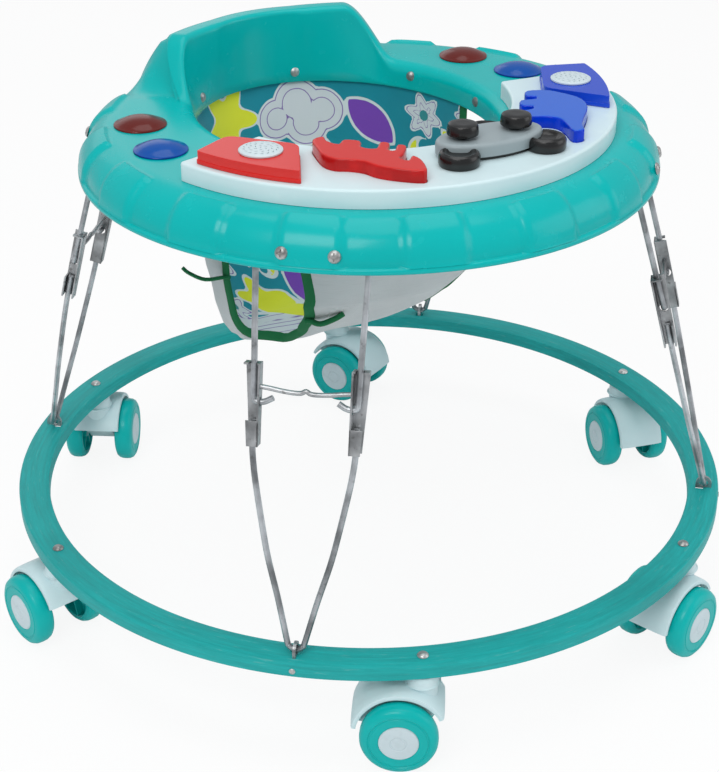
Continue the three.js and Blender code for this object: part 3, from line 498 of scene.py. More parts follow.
class Shade(Nodes):
    """One material's nodes."""

    def __init__(self, name, **fixed):
        self.material = bpy.data.materials.new(name)
        self.material.use_nodes = True
        super().__init__(self.material.node_tree)
        self.shader = self.tree.nodes["Principled BSDF"]
        for key, value in fixed.items():
            self.set(key.replace("_", " "), value)
        self.place = self.node("TexCoord", out="Object")

    def set(self, name, value):
        self.feed(self.shader.inputs[name], value)

    def mix(self, factor, first, second):
        first, second = ((*c, 1) if isinstance(c, tuple) else c for c in (first, second))
        return self.node("Mix", {0: factor, 6: first, 7: second}, out=2, data_type="RGBA")

    def cloudy(self, colour, scale, detail, low, high):
        """The colour between a darker and a lighter factor, in clouds."""
        return self.mix(self.noise(scale, detail), shaded(colour, low), shaded(colour, high))

    def noise(self, scale, detail=3, vector=None, rough=0.5):
        return self.node("TexNoise", {
            "Vector": vector or self.place, "Scale": scale, "Detail": detail, "Roughness": rough})

    def band(self, value, low, high):
        """0 below low, 1 above high, and smooth between them."""
        return self.node("MapRange", {"Value": value, "From Min": low, "From Max": high},
                         interpolation_type="SMOOTHSTEP")

    def part(self, vector, axis):
        return self.node("SeparateXYZ", {0: vector}, out=axis)

    def axes(self):
        return [self.part(self.place, i) for i in range(3)]

    def vector(self, x, y, z):
        return self.node("CombineXYZ", {0: x, 1: y, 2: z})

    def field(self, name):
        return self.node("Attribute", out="Fac", attribute_name=name)

    def bump(self, height, distance, strength=1.0):
        self.set("Normal", self.node("Bump", {
            "Height": height, "Distance": distance, "Strength": strength}))


def shaded(colour, factor):
    return tuple(min(1.0, c * factor) for c in colour)


def moulded(name, colour, roughness, coat=0.0, mottle=0.07, grain=0.00006, grain_scale=700):
    """Moulded plastic with cloudy colour, fine grain and faint rubbed places."""
    shade = Shade(name, Coat_Weight=coat, Coat_Roughness=0.08, Specular_IOR_Level=0.2)
    cloud = shade.noise(16, 3)
    rubbed = shade.band(shade.noise(55, 7), 0.6, 0.74)
    colour_now = shade.mix(cloud, shaded(colour, 1 - mottle), shaded(colour, 1 + mottle))
    shade.set("Base Color", shade.mix(rubbed * 0.1, colour_now, shaded(colour, 1.4)))
    shade.set("Roughness", cloud * 0.08 + (roughness - 0.04) + rubbed * 0.12)
    shade.bump(shade.noise(grain_scale, 2), grain, 0.5)
    return shade.material


def clear_plastic_painted_light(name, top, side, depth=0.5):
    """Clear tinted plastic with painted light: the flat top painted duller and the walls painted brighter, as
    light through the plastic shows.
    """
    shade = Shade(name, Roughness=0.16, Coat_Weight=0.05, Coat_Roughness=0.05, Specular_IOR_Level=0.2)
    shade.set("Transmission Weight", 0.12)
    # Painted light: the colour follows which way each face points, with the up-facing top painted duller and
    # the walls painted brighter.
    up = shade.part(shade.node("NewGeometry", out="Normal"), 2)
    flat = shade.band(up, 0.55, 0.95)
    # The walls' painted brighter light, darkened by the depth factor in random clouds.
    glow = shade.mix(shade.band(shade.noise(45, 4), 0.35, 0.7), shaded(side, depth), side)
    shade.set("Base Color", shade.mix(flat, glow, top))
    shade.bump(shade.noise(260, 2), 0.00012, 0.4)
    return shade.material


def zinc(name, tone=(0.46, 0.48, 0.5), spots=0.3):
    """Zinc-plated steel with drawn streaks, dull patches and a few dark specks."""
    shade = Shade(name, Metallic=0.85)
    cloud = shade.noise(38, 5)
    streak = shade.noise(420, 4)
    specks = shade.band(shade.noise(210, 6), 0.6, 0.7)
    base = shade.mix(shade.band(cloud, 0.3, 0.7), shaded(tone, 0.45), shaded(tone, 1.3))
    shade.set("Base Color", shade.mix(specks * spots, base, (0.07, 0.065, 0.06)))
    shade.set("Roughness", 0.24 + cloud * 0.16 + streak * 0.14)
    shade.bump(streak, 0.00012, 0.5)
    return shade.material


def ring_plastic(name, colour):
    """Grained plastic of the ring, with streaks that run round it and paler scuffs."""
    shade = Shade(name, Specular_IOR_Level=0.25)
    x, y, z = shade.axes()
    around = shade.maths("ARCTAN2", y, x) * (RING_MID * MM)
    out = shade.maths("SQRT", x * x + y * y)
    along = shade.noise(1, 6, shade.vector(around * 26, out * 480, z * 480))
    fine = shade.noise(1, 4, shade.vector(around * 120, out * 1400, z * 1400))
    cloud = shade.noise(9, 4)
    scuff = shade.band(shade.noise(1, 8, shade.vector(around * 45, out * 300, z * 420), 0.62), 0.57, 0.72)
    body = shade.mix(along, shaded(colour, 0.68), shaded(colour, 1.28))
    body = shade.mix(shade.band(fine, 0.5, 0.75) * 0.25, body, shaded(colour, 1.5))
    body = shade.mix(scuff * 0.3, body, (0.25, 0.55, 0.5))
    shade.set("Base Color", shade.mix(shade.band(cloud, 0.5, 0.8) * 0.35, body, shaded(colour, 0.62)))
    shade.set("Roughness", 0.34 + along * 0.2 + scuff * 0.15)
    shade.bump(along * 0.6 + fine * 0.4, 0.0003, 0.5)
    return shade.material


def woven(shade, thread=0.0011):
    """Height of a plain weave."""
    x, y, z = shade.axes()
    pitch = 2 * math.pi / thread
    return shade.maths("SINE", (x + y) * (0.75 * pitch)) * shade.maths("SINE", z * pitch)


def plain_cloth(name, colour):
    """Undyed cloth, with thicker threads here and there."""
    shade = Shade(name, Roughness=0.92)
    shade.set("Sheen Weight", 0.25)
    x, y, z = shade.axes()
    slub = shade.noise(1, 4, shade.vector(x * 60, y * 60, z * 900))
    body = shade.cloudy(colour, 24, 5, 0.86, 1.04)
    shade.set("Base Color", shade.mix(shade.band(slub, 0.5, 0.75) * 0.3, body, shaded(colour, 0.75)))
    shade.bump(woven(shade) * 0.5 + slub, 0.0002, 0.6)
    return shade.material


PRINT_KINDS = ("edge", "yellow", "purple", "white", "dot")
PRINT_PALE = (0.7, 0.74, 0.78)
PRINT_LINE = (0.22, 0.13, 0.42)
# Field, how far from the outline it reaches and its colour, painted over one another in this order
PRINT_LAYERS = (
    ("edge", 2.6, (0.72, 0.78, 0.8)), ("white", 0.5, PRINT_LINE), ("white", -0.4, PRINT_PALE),
    ("white", -7, PRINT_LINE), ("white", -7.8, PRINT_PALE), ("yellow", 0, (0.84, 0.86, 0.03)),
    ("purple", 0, (0.2, 0.06, 0.48)), ("dot", 0, (0.03, 0.28, 0.3)),
)


def printed_cloth(name, ground):
    """The seat's print: motifs come from fields on the mesh, in millimetres from each outline."""
    shade = Shade(name, Roughness=0.88)
    shade.set("Sheen Weight", 0.2)
    wobble = (shade.noise(90, 3) - 0.5) * 1.2
    soft = 0.25
    fields = {kind: shade.field(f"print_{kind}") + wobble for kind in PRINT_KINDS}
    colour = shade.cloudy(ground, 20, 4, 0.85, 1.15)
    for kind, limit, ink in PRINT_LAYERS:
        colour = shade.mix(1 - shade.band(fields[kind], limit - soft, limit + soft), colour, ink)
    shade.set("Base Color", colour)
    shade.bump(woven(shade) * 0.5 + shade.noise(500, 3), 0.00018, 0.6)
    return shade.material


def tape_cloth(name, colour):
    """Ribbed tape with paler, worn threads."""
    shade = Shade(name, Roughness=0.85)
    shade.set("Sheen Weight", 0.2)
    rib = shade.maths("SINE", shade.part(shade.place, 2) * (2 * math.pi / 0.0014))
    body = shade.cloudy(colour, 40, 5, 0.7, 1.4)
    worn = shade.band(shade.noise(300, 4), 0.45, 0.8)
    shade.set("Base Color", shade.mix(worn * 0.4, body, shaded(colour, 2)))
    shade.bump(rib * 0.4 + shade.noise(600, 3), 0.0003, 0.8)
    return shade.material


def hub_plastic(name, colour):
    """Matt plastic with darker stains."""
    shade = Shade(name, Roughness=0.42)
    stain = shade.band(shade.noise(120, 6), 0.5, 0.75)
    body = shade.cloudy(colour, 60, 4, 0.9, 1.04)
    shade.set("Base Color", shade.mix(stain * 0.25, body, shaded(colour, 0.7)))
    shade.bump(shade.noise(500, 3), 0.00015, 0.6)
    return shade.material


def colour_of(name):
    return tuple(getattr(bpy.context.scene.walker_colours, name))


# Maker and values of each look; a word there is one of the colours above
LOOKS = {
    "tray_plastic": (moulded, "tray", 0.24, 0.07),
    "ring_plastic": (ring_plastic, "ring"),
    "wheel_plastic": (moulded, "wheel", 0.36, 0.1),
    "white_plastic": (moulded, "white", 0.36, 0.1, 0.04),
    "panel_plastic": (moulded, "white", 0.34, 0.15, 0.04, 0.0001, 420),
    "hub_plastic": (hub_plastic, (0.64, 0.75, 0.79)),
    "zinc_wire": (zinc,),
    "zinc_bracket": (zinc, (0.42, 0.43, 0.44), 0.5),
    "zinc_screw": (zinc, (0.55, 0.55, 0.54), 0.4),
    # For clear plastic, the first colour is the flat top's painted duller shade and the second the walls'
    # painted brighter light; a number after them darkens the walls in clouds.
    "clear_red": (clear_plastic_painted_light, (0.5, 0.02, 0.02), "red"),
    "clear_blue": (clear_plastic_painted_light, (0.05, 0.11, 0.5), "blue"),
    "key_red": (clear_plastic_painted_light, (0.72, 0.03, 0.025), "red", 0.7),
    "key_blue": (clear_plastic_painted_light, (0.03, 0.15, 0.72), (0.0, 0.05, 0.78), 0.7),
    "dome_red": (clear_plastic_painted_light, (0.15, 0.018, 0.014), (0.25, 0.02, 0.015), 0.6),
    "dome_blue": (clear_plastic_painted_light, (0.004, 0.09, 0.42), (0.002, 0.06, 0.4), 0.6),
    "car_plastic": (moulded, (0.32, 0.38, 0.4), 0.38, 0.1, 0.04),
    "toy_black": (moulded, (0.008, 0.008, 0.009), 0.14, 0.6, 0.1),
    "sound_box": (moulded, (0.16, 0.18, 0.17), 0.6),
    "cloth_plain": (plain_cloth, (0.6, 0.63, 0.64)),
    "cloth_print": (printed_cloth, "cloth_ground"),
    "binding_tape": (tape_cloth, "tape"),
}


def material_of(name):
    maker, *values = LOOKS[name]
    values = [colour_of(value) if isinstance(value, str) else value for value in values]
    return bpy.data.materials.get(name) or maker(name, *values)


# Tray

def hole_radius(degrees, extra=0.0):
    half_width, half_length = HOLE_HALF_WIDTH + extra, HOLE_HALF_LENGTH + extra
    x = math.sin(math.radians(degrees)) / half_width
    y = -math.cos(math.radians(degrees)) / half_length
    move = HOLE_SHIFT / half_length
    square = x * x + y * y
    return (y * move + math.sqrt((y * move) ** 2 - square * (move * move - 1))) / square


def backrest_share(degrees):
    return 1 - smooth_step(abs(abs(degrees) - 180), 27, 43)


def pressed_share(degrees, soft=0.4):
    """1 on a raised panel of the tray's edge and 0 between two of them."""
    step = 180 / PRESSED_PANELS
    place = (degrees + 180) / step + 0.5
    within = place % 1
    here, other = (1, 0) if int(place) % 2 == 0 else (0, 1)
    edge = soft / step
    near = min(within, 1 - within)
    return lerp(here, lerp(here, other, 0.5), 1 - smooth_step(near, 0, edge))


SHOULDER_RADIUS = 31
SHOULDER = (TRAY_RADIUS - 1.2 - SHOULDER_RADIUS, TRAY_Z - SHOULDER_RADIUS)
SHOULDER_TILTS = (6, 14, 22, 30, 38, 46, 54, 61, 67, 71, 73.5, 76, 82)
RIM_TILTS = (15, 30, 45, 60, 75, 90)


def tray_section(degrees, inset):
    """Stations of the tray's profile at a compass angle, from the lip to the hole's edge."""
    share = backrest_share(degrees)
    pressed = mm_of("pressed_depth") * (pressed_share(degrees) if not inset else 0.5)
    centre_x, centre_z = SHOULDER
    radius = SHOULDER_RADIUS - inset
    lip = TRAY_RADIUS + 2.5 - inset
    stations = [
        (lip - 0.8, SKIRT_Z), (lip, SKIRT_Z + 0.8), (lip, SKIRT_Z + 3.4 - inset / 2),
        (lip - 0.8, SKIRT_Z + 4.3 - inset / 2), (centre_x + radius + pressed + 0.4, SKIRT_Z + 4.8),
        (centre_x + radius + pressed, SKIRT_Z + 5.6),
    ]
    top = TRAY_Z - inset
    crest = lerp(top, BACKREST_Z - inset, share)
    edge = hole_radius(degrees) + inset
    lean = max(BACKREST_LEAST_LEAN, BACKREST_INNER_RADIUS - edge + inset)
    rim = mm_of("rim_round")
    crest_inner = edge + lerp(rim, lean, share)
    crest_outer = edge + lerp(rim + 2, lean + BACKREST_THICKNESS - 2 * inset, share)
    foot = edge - 2 * inset + rim + 4
    wall_angle = math.radians(BACKREST_WALL_TILT)
    wall_foot = (centre_x + radius * math.cos(wall_angle), centre_z + radius * math.sin(wall_angle))

    def raised(x, z, t):
        """A point of the plain tray, moved by the share onto the backrest's outer wall."""
        out = 16 * t * (1 - t) + pressed * smooth_step(t, 0.1, 0.17)
        return (lerp(x, lerp(crest_outer, wall_foot[0], t) + out, share),
                lerp(z, lerp(crest, wall_foot[1], t), share))

    for tilt in SHOULDER_TILTS:
        reach = radius + pressed * (1 - smooth_step(tilt, 71.5, 75.5))
        angle = math.radians(tilt)
        x, z = centre_x + reach * math.cos(angle), centre_z + reach * math.sin(angle)
        if tilt > BACKREST_WALL_TILT:
            up = (tilt - BACKREST_WALL_TILT) / (90 - BACKREST_WALL_TILT)
            x, z = raised(x, z, lerp(1, 0.55, up))
        stations.append((x, z))
    for out, t in ((0, 0.5), (0.35, 0.42), (0.7, 0.34), (1, 0.27)):
        stations.append(raised(lerp(centre_x, foot, out), top, t))
    for out, t in ((0.8, 0.21), (0.6, 0.165), (0.45, 0.13), (0.3, 0.1), (0.15, 0.06)):
        stations.append(raised(lerp(edge + rim + 2, foot, out), top, t))
    ease = lerp(0, 0.6, share)
    stations += [raised(edge + rim + 2.2, top, 0.03), (crest_outer - ease, crest - ease),
                 (lerp(crest_outer, crest_inner, 0.25), crest), (crest_inner, crest)]
    drop = crest - HOLE_Z
    rim = lerp(rim, min(BACKREST_RIM_ROUND, lean), share)
    for tilt in RIM_TILTS:
        angle = math.radians(tilt)
        stations.append((crest_inner - rim * math.sin(angle),
                         crest - min(rim, drop) * (1 - math.cos(angle))))
    low = stations[-1]
    for down in (0.3, 0.6, 0.85):
        stations.append((lerp(low[0], edge, down), lerp(low[1], HOLE_Z, down)))
    stations += [(edge, HOLE_Z + 0.8), (edge + 0.6, HOLE_Z)]
    return stations


def tray_shape(columns=512):
    sections = {}

    def section_at(degrees):
        key = round(degrees, 3)
        if key not in sections:
            sections[key] = tray_section(degrees, 0.0) + tray_section(degrees, TRAY_WALL)[::-1]
        return sections[key]

    bm = bmesh.new()
    station = bm.verts.layers.int.new("station")
    verts = [bm.verts.new((radius, 0, height)) for radius, height in section_at(90.0)]
    for i, vert in enumerate(verts):
        vert[station] = i
    edges = [bm.edges.new((verts[i - 1], verts[i])) for i in range(len(verts))]
    full_spin(bm, verts + edges, columns)
    for vert in bm.verts:
        degrees = math.degrees(math.atan2(vert.co.x, -vert.co.y))
        radius, height = section_at(degrees)[vert[station]]
        vert.co.x, vert.co.y = polar(radius, degrees)
        vert.co.z = height
    return bm


class WALKER_OT_tray(bpy.types.Operator):
    """Make the tray with its pressed edge, seat hole and backrest, and the rivets in it"""

    bl_idname = "walker.tray"
    bl_label = "Tray"

    def execute(self, context):
        piece("tray", tray_shape(), "tray", "tray_teal", "tray_plastic", "tray_shell", sharp=50)
        dome = turned([(0, 2.2), (1.6, 2.0), (3.2, 1.3), (4.3, 0.4), (4.5, -0.4), (0, -0.4)], 24)
        rivets = []
        for degrees, height in RIVETS:
            edge = hole_radius(degrees)
            lean = max(BACKREST_LEAST_LEAN, BACKREST_INNER_RADIUS - edge)
            reach = backrest_share(degrees) * RIVET_SHARE * (lean - min(BACKREST_RIM_ROUND, lean))
            x, y = polar(edge + reach, degrees)
            rivets.append((dome, shift(x, y, height) @ turn(degrees) @ turn(-90, "X")))
        piece("tray_rivets", merged(*rivets), "tray", "zinc_steel", "zinc_screw")
        return {"FINISHED"}


# Toys

KEY_LENGTH = 100
KEY_CLEARANCE = 0.5
# Name, outline, place and turn on the panel, and colour of each key
KEYS = (
    ("crocodile", CROCODILE, (50, -34.7, -34.2), "red"),
    ("elephant", ELEPHANT, (45, 38, -153), "blue"),
)
CAR_PLACE = (55, 3.5, -10)
CAR_HALF_LENGTH = 46
CAR_HALF_WIDTH = 23
CAR_HEIGHT = 13
CAR_PLATE = 2.4
CAR_STEMS = (-23.9, 23.9)
CAR_STEM_HOLE = 5.5
PANEL_REACH = 79
PANEL_HOLLOW_REACH = 77.4
PANEL_WALL = 2.6
BLOCK_HEIGHT = 10
# Colour, compass angle and radius of the domes on either side
DOMES = (("red", 118.2, TRAY_RADIUS - 51), ("blue", 98.4, TRAY_RADIUS - 57))


def band_outline(inner_at, outer, start, end, steps, corner=0.0):
    angles = [lerp(start, end, i / steps) for i in range(steps + 1)]
    outside = [Vector(polar(outer, a)) for a in angles]
    inside = [Vector(polar(inner_at(a), a)) for a in reversed(angles)]
    if not corner:
        return outside + inside
    return rounded_outline(outside + inside, corner)


def scaled(shares, length, steps=3):
    return [tuple(p) for p in spline([(a * length, b * length) for a, b in shares], steps, closed=True)]


def grown_outline(outline, margin):
    """The outline moved out by a margin, corner by corner."""
    count = len(outline)
    area = sum(outline[i - 1][0] * outline[i][1] - outline[i][0] * outline[i - 1][1] for i in range(count))
    side = 1 if area > 0 else -1
    made = []
    for i in range(count):
        before, after = Vector(outline[i - 1]), Vector(outline[(i + 1) % count])
        along = (after - before).normalized()
        made.append((outline[i][0] + side * along.y * margin, outline[i][1] - side * along.x * margin))
    return made


class WALKER_OT_toys(bpy.types.Operator):
    """Make the toy panel, its keys, blocks, car and the domes beside it"""

    bl_idname = "walker.toys"
    bl_label = "Toys"

    def execute(self, context):
        self.panel()
        self.keys()
        self.blocks()
        self.car()
        self.domes()
        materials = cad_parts["sound_module"].data.materials
        materials.clear()
        materials.append(material_of("sound_box"))
        return {"FINISHED"}

    def panel(self):
        def inner_at(degrees):
            return hole_radius(degrees, 9)

        def wall_at(degrees):
            return inner_at(degrees) + PANEL_WALL

        def through(outline, matrix):
            return moved(prism(outline, PANEL_Z - 8, PANEL_Z + 5), matrix)

        base = TRAY_Z + GAP
        outside = band_outline(inner_at, PANEL_OUTER, -PANEL_REACH, PANEL_REACH, 64, 7)
        inside = band_outline(wall_at, PANEL_OUTER - PANEL_WALL, -PANEL_HOLLOW_REACH, PANEL_HOLLOW_REACH, 48)
        holes = [through(grown_outline(scaled(shares, KEY_LENGTH), KEY_CLEARANCE), panel_frame(*place))
                 for _, shares, place, _ in KEYS]
        holes += [through(circle(CAR_STEM_HOLE, 32), panel_frame(*CAR_PLACE) @ shift(x)) for x in CAR_STEMS]
        hollow = prism(inside, base - 5, PANEL_Z - PANEL_WALL)
        shape = carved(slab(outside, base, PANEL_Z, 2.4), hollow, *holes)
        piece("panel", shape, "tray", "panel_white", "panel_plastic", "toy_panel")

    def keys(self):
        for name, shares, place, colour in KEYS:
            shape = slab(scaled(shares, KEY_LENGTH), PANEL_Z - 5, PANEL_Z + 10, 1.7)
            piece(f"{name}_toy", moved(shape, panel_frame(*place)), f"{name}_key", f"clear_{colour}",
                  f"key_{colour}", f"{name}_key")

    def blocks(self):
        bottom = PANEL_Z + GAP
        top = bottom + BLOCK_HEIGHT
        slot = prism(ellipse(1.5, 0.5, 10), -1, 1.2)
        slots = [(slot, turn(360 * i / count + ring * 7) @ shift(0, ring) @ turn(35))
                 for ring, count in ((0, 1), (4.4, 6), (8.6, 11), (12.8, 17)) for i in range(count)]
        disc = turned([(0, 0.9), (12, 0.75), (15.6, 0.3), (16.9, -0.5), (16.9, -1.6), (0, -1.6)], 56)
        disc = carved(disc, merged(*slots))
        for name, sign in (("red", -1), ("blue", 1)):
            outer = [Vector(polar(PANEL_OUTER - 6, sign * lerp(48.8, 75.5, i / 16))) for i in range(17)]
            inner = [Vector(polar(radius, sign * degrees)) for radius, degrees in ((159, 78), (144, 55.7))]
            outline = rounded_outline(outer + inner, 9)
            foot = slab(grown_outline(outline, -0.1), bottom, bottom + 3.2, 0.6, 2)
            body = slab(grown_outline(outline, -0.9), bottom + 0.4, top, 3.2, 5)
            piece(f"{name}_block", merged(foot, body), "tray", f"clear_{name}", f"clear_{name}",
                  f"{name}_music_block")
            x, y = polar(PANEL_OUTER - 34, sign * 62.8)
            piece(f"{name}_grille", moved(disc, shift(x, y, top + 1.9)), "tray", "panel_white", "hub_plastic",
                  f"{name}_speaker_grille")

    def car(self):
        on_car = panel_frame(*CAR_PLACE)
        base = PANEL_Z + GAP
        top = base + CAR_HEIGHT
        oval = ellipse(CAR_HALF_LENGTH, CAR_HALF_WIDTH, 72)
        stem_hole = prism(circle(CAR_STEM_HOLE, 32), base - 5, base + 20)
        stem_holes = [moved(stem_hole, shift(x)) for x in CAR_STEMS]
        body = carved(slab(oval, base + CAR_PLATE + GAP, top, 3.2, 5), *stem_holes)
        piece("car_body", moved(body, on_car), "tray", "car_grey", "car_plastic", "toy_car_body")
        tyre = turned([(0, 7.4), (7.5, 7.6), (9.2, 8.4), (10.5, 10), (12.8, 10.6), (14.9, 9.6), (16, 7.4),
                       (16, 2), (15.2, 0.1), (0, 0)], 56)
        tyres = [(tyre, shift(x * CAR_HALF_LENGTH, y * CAR_HALF_WIDTH, base))
                 for x, y in ((-0.82, -0.82), (0.86, -0.82), (0.2, 0.88))]
        tyres = carved(merged(*tyres), prism(grown_outline(oval, 0.4), base + CAR_PLATE, base + 30))
        plate = carved(prism(ellipse(42.3, 21.1, 64), base, base + CAR_PLATE), *stem_holes)
        piece("car_tyres", merged((tyres, on_car), (plate, on_car)), "tray", "toy_black", "toy_black",
              "toy_car_tyres")
        low = top + 2.8
        knob = turned([(0, low + 8.7), (5, low + 9), (9.6, low + 8.9), (11.2, low + 8.2), (11.9, low + 6.8),
                       (12.4, low + 2), (12.2, low + 0.5), (11.4, low), (5, low), (5, PANEL_Z - 5),
                       (0, PANEL_Z - 5)], 56)
        for number, x in enumerate(CAR_STEMS, 1):
            node = f"toy_car_knob_{number}"
            piece(f"car_knob_{number}", moved(knob, on_car @ shift(x)), node, "toy_black", "toy_black", node)

    def domes(self):
        dome = turned([(0, 7), (4, 6.85), (8, 6.35), (12, 5.4), (15.5, 4.1), (18.2, 2.7), (20.2, 1.6),
                       (21.7, 1.2), (22, 0.8), (22, 0), (0, 0)], 64)
        for side, sign in (("left", -1), ("right", 1)):
            for colour, degrees, radius in DOMES:
                x, y = polar(radius, sign * degrees)
                piece(f"{colour}_dome_cap_{side}", moved(dome, shift(x, y, TRAY_Z + GAP)), "tray",
                      f"dark_{colour}", f"dome_{colour}", f"{colour}_dome_{side}")


# Legs

FOOT_BEND = 7
LOWER_REACH = 39.5
UPPER_REACH = 42.5
BRACKET_BELOW = 34
BRACKET_ABOVE = 30
BRACKET_DEPTHS = (7.3, 11.3)
CROSSBAR_RADIUS = 1.9
CLAMP_HALF_WIDTH = 30
CLAMP_GAP = 3.3
CLAMP_SCREW_SIDE = 19.5
CLAMP_SCREW_TILT = 15.5


def mirror_line(points):
    return [Vector((-p.x, p.y, p.z)) for p in reversed(points)]


def lower_wire_shape():
    side = [Vector((FOOT_BEND * math.sin(a), 0, FOOT_BEND * (1 - math.cos(a))))
            for a in map(math.radians, (25, 55, 82))]
    for span, rise in ((0.39, 0.25), (0.62, 0.454), (0.77, 0.63), (0.91, 0.815), (0.97, 0.915), (1, 1)):
        side.append(Vector((LOWER_REACH * span, 0, (LOWER_LENGTH - BRACKET_BELOW) * rise)))
    side.append(Vector((LOWER_REACH, 0, LOWER_LENGTH - 14)))
    line = mirror_line(side) + [Vector((0, 0, 0))] + side
    return tube(spline(line, 6), mm_of("wire_radius"))


def upper_wire_shape():
    side = [Vector((x, 0, z)) for x, z in (
        (24.8, 4), (31.5, 0), (LOWER_REACH, 0), (UPPER_REACH, UPPER_LENGTH), (0, UPPER_LENGTH))]
    half = cornered(side, 4.5)[:-1]
    return tube(half + mirror_line(half), mm_of("wire_radius"))


def latch_shape():
    """Two tapered channel brackets with notched tabs, and the bar between them."""
    sheet, web, notch = 1.5, 36.05, 3.45
    inner = web - sheet
    front, back = -notch, notch + BRACKET_ABOVE * math.sin(UPPER_TILT - LOWER_TILT)

    def edge(z):
        share = (z + BRACKET_BELOW) / (BRACKET_BELOW + BRACKET_ABOVE)
        return web + lerp(*BRACKET_DEPTHS, share), z

    def plate(high, y):
        outline = [(inner, -BRACKET_BELOW), edge(-BRACKET_BELOW), edge(high), (inner, high)]
        return moved(prism(outline, 0, sheet), shift(0, y + sheet) @ turn(90, "X"))

    web_face = prism(rectangle(front - sheet, back + sheet, -BRACKET_BELOW, BRACKET_ABOVE), 0, sheet)
    web_face = carved(moved(web_face, shift(inner) @ turn(90, "Z") @ turn(90, "X")),
                      moved(prism(circle(3.9, 20), -6, 6), shift(web) @ turn(90, "Y")))
    middle = lerp(LOWER_REACH, UPPER_REACH, BRACKET_ABOVE / UPPER_LENGTH)
    tab_end = web + BRACKET_DEPTHS[1]
    tab = [(web, front), (middle - notch, front)]
    for i in range(9):
        angle = math.pi - math.pi * i / 8
        tab.append((middle + notch * math.cos(angle), 0.3 + notch * math.sin(angle)))
    tab += [(middle + notch, front), (tab_end, front), (tab_end, back + sheet), (web, back + sheet)]
    bracket = merged(plate(BRACKET_ABOVE, back), plate(-14, front - sheet), web_face,
                     prism(tab, BRACKET_ABOVE - sheet, BRACKET_ABOVE))
    bevelled(bracket, [e for e in bracket.edges if e.calc_length() > 5 and e.calc_face_angle(0) > 1], 0.35)
    bar = [Vector((x, 0, 12 - z)) for x, z in (
        (35.3, 0), (27, 0.9), (18, 2.2), (9, 2.9), (3.5, 2.6), (0, 0.9))]
    bar = spline([Vector((-p.x, 0, p.z)) for p in bar[:-1]] + bar[::-1], 5)
    return merged(bracket, (bracket, Matrix.Scale(-1, 4, (1, 0, 0))), tube(bar, CROSSBAR_RADIUS))


def clamp_parts():
    """A hooked block under the tray's edge, and its two cross-head screws."""
    low = TIP_Z - CLAMP_GAP
    inner, outer = TIP_RADIUS - 8.9 - CLAMP_GAP, TIP_RADIUS + 4
    side, past = CLAMP_HALF_WIDTH, CLAMP_HALF_WIDTH + 10
    body = carved(
        prism(rectangle(-side, side, -outer, -inner + 3), low - 2, TIP_Z + 12),
        prism(rectangle(-past, past, -outer - 5, -inner), low, TIP_Z + CLAMP_GAP),
        prism(rectangle(-past, past, -outer - 5, -TIP_RADIUS - 6.2), low - 9, low + 1))
    bevelled(body, [e for e in body.edges if e.calc_face_angle(0) > 1], 0.6)
    seat = SHOULDER_RADIUS + 2.7
    screw = turned([
        (0, seat + 2.1), (1.4, seat + 2.1), (1.6, seat + 2.55), (2.8, seat + 2.4), (4.2, seat + 1.6),
        (4.8, seat + 0.7), (5, seat), (1.8, seat), (1.8, seat - 11.5), (0, seat - 11.5)], 32)
    cross = [(3.2, -0.45), (3.2, 0.45), (0.45, 0.45), (0.45, 3.2), (-0.45, 3.2), (-0.45, 0.45)]
    screw = carved(screw, prism(cross + [(-x, -y) for x, y in cross], seat + 1.2, seat + 4))
    reach = math.degrees(math.asin(CLAMP_SCREW_SIDE / TRAY_RADIUS))
    facing = shift(0, -SHOULDER[0], SHOULDER[1]) @ turn(90 - CLAMP_SCREW_TILT, "X")
    return body, merged(*((screw, turn(sign * reach) @ facing) for sign in (-1, 1)))


class WALKER_OT_legs(bpy.types.Operator):
    """Make the wires, knee brackets and clamps of the four legs"""

    bl_idname = "walker.legs"
    bl_label = "Legs"

    def execute(self, context):
        lower, upper, latch = lower_wire_shape(), upper_wire_shape(), latch_shape()
        clamp, screws = clamp_parts()
        for number, degrees in enumerate(LEG_ANGLES, 1):
            out, low = turn(degrees), lower_frame(degrees)
            body = f"lower_leg_{number}"
            piece(f"lower_wire_{number}", moved(lower, low), body, "zinc_steel", "zinc_wire",
                  f"lower_leg_wire_{number}")
            piece(f"latch_{number}", moved(latch, low @ shift(0, 0, LOWER_LENGTH)), body, "zinc_steel",
                  "zinc_bracket", f"latch_frame_{number}")
            piece(f"upper_wire_{number}", moved(upper, upper_frame(degrees)), f"upper_leg_{number}",
                  "zinc_steel", "zinc_wire", f"upper_leg_wire_{number}")
            piece(f"clamp_{number}", moved(clamp, out), "tray", "caster_white", "white_plastic",
                  f"leg_clamp_{number}")
            piece(f"clamp_screws_{number}", moved(screws, out), "tray", "zinc_steel", "zinc_screw")
        return {"FINISHED"}


# Base

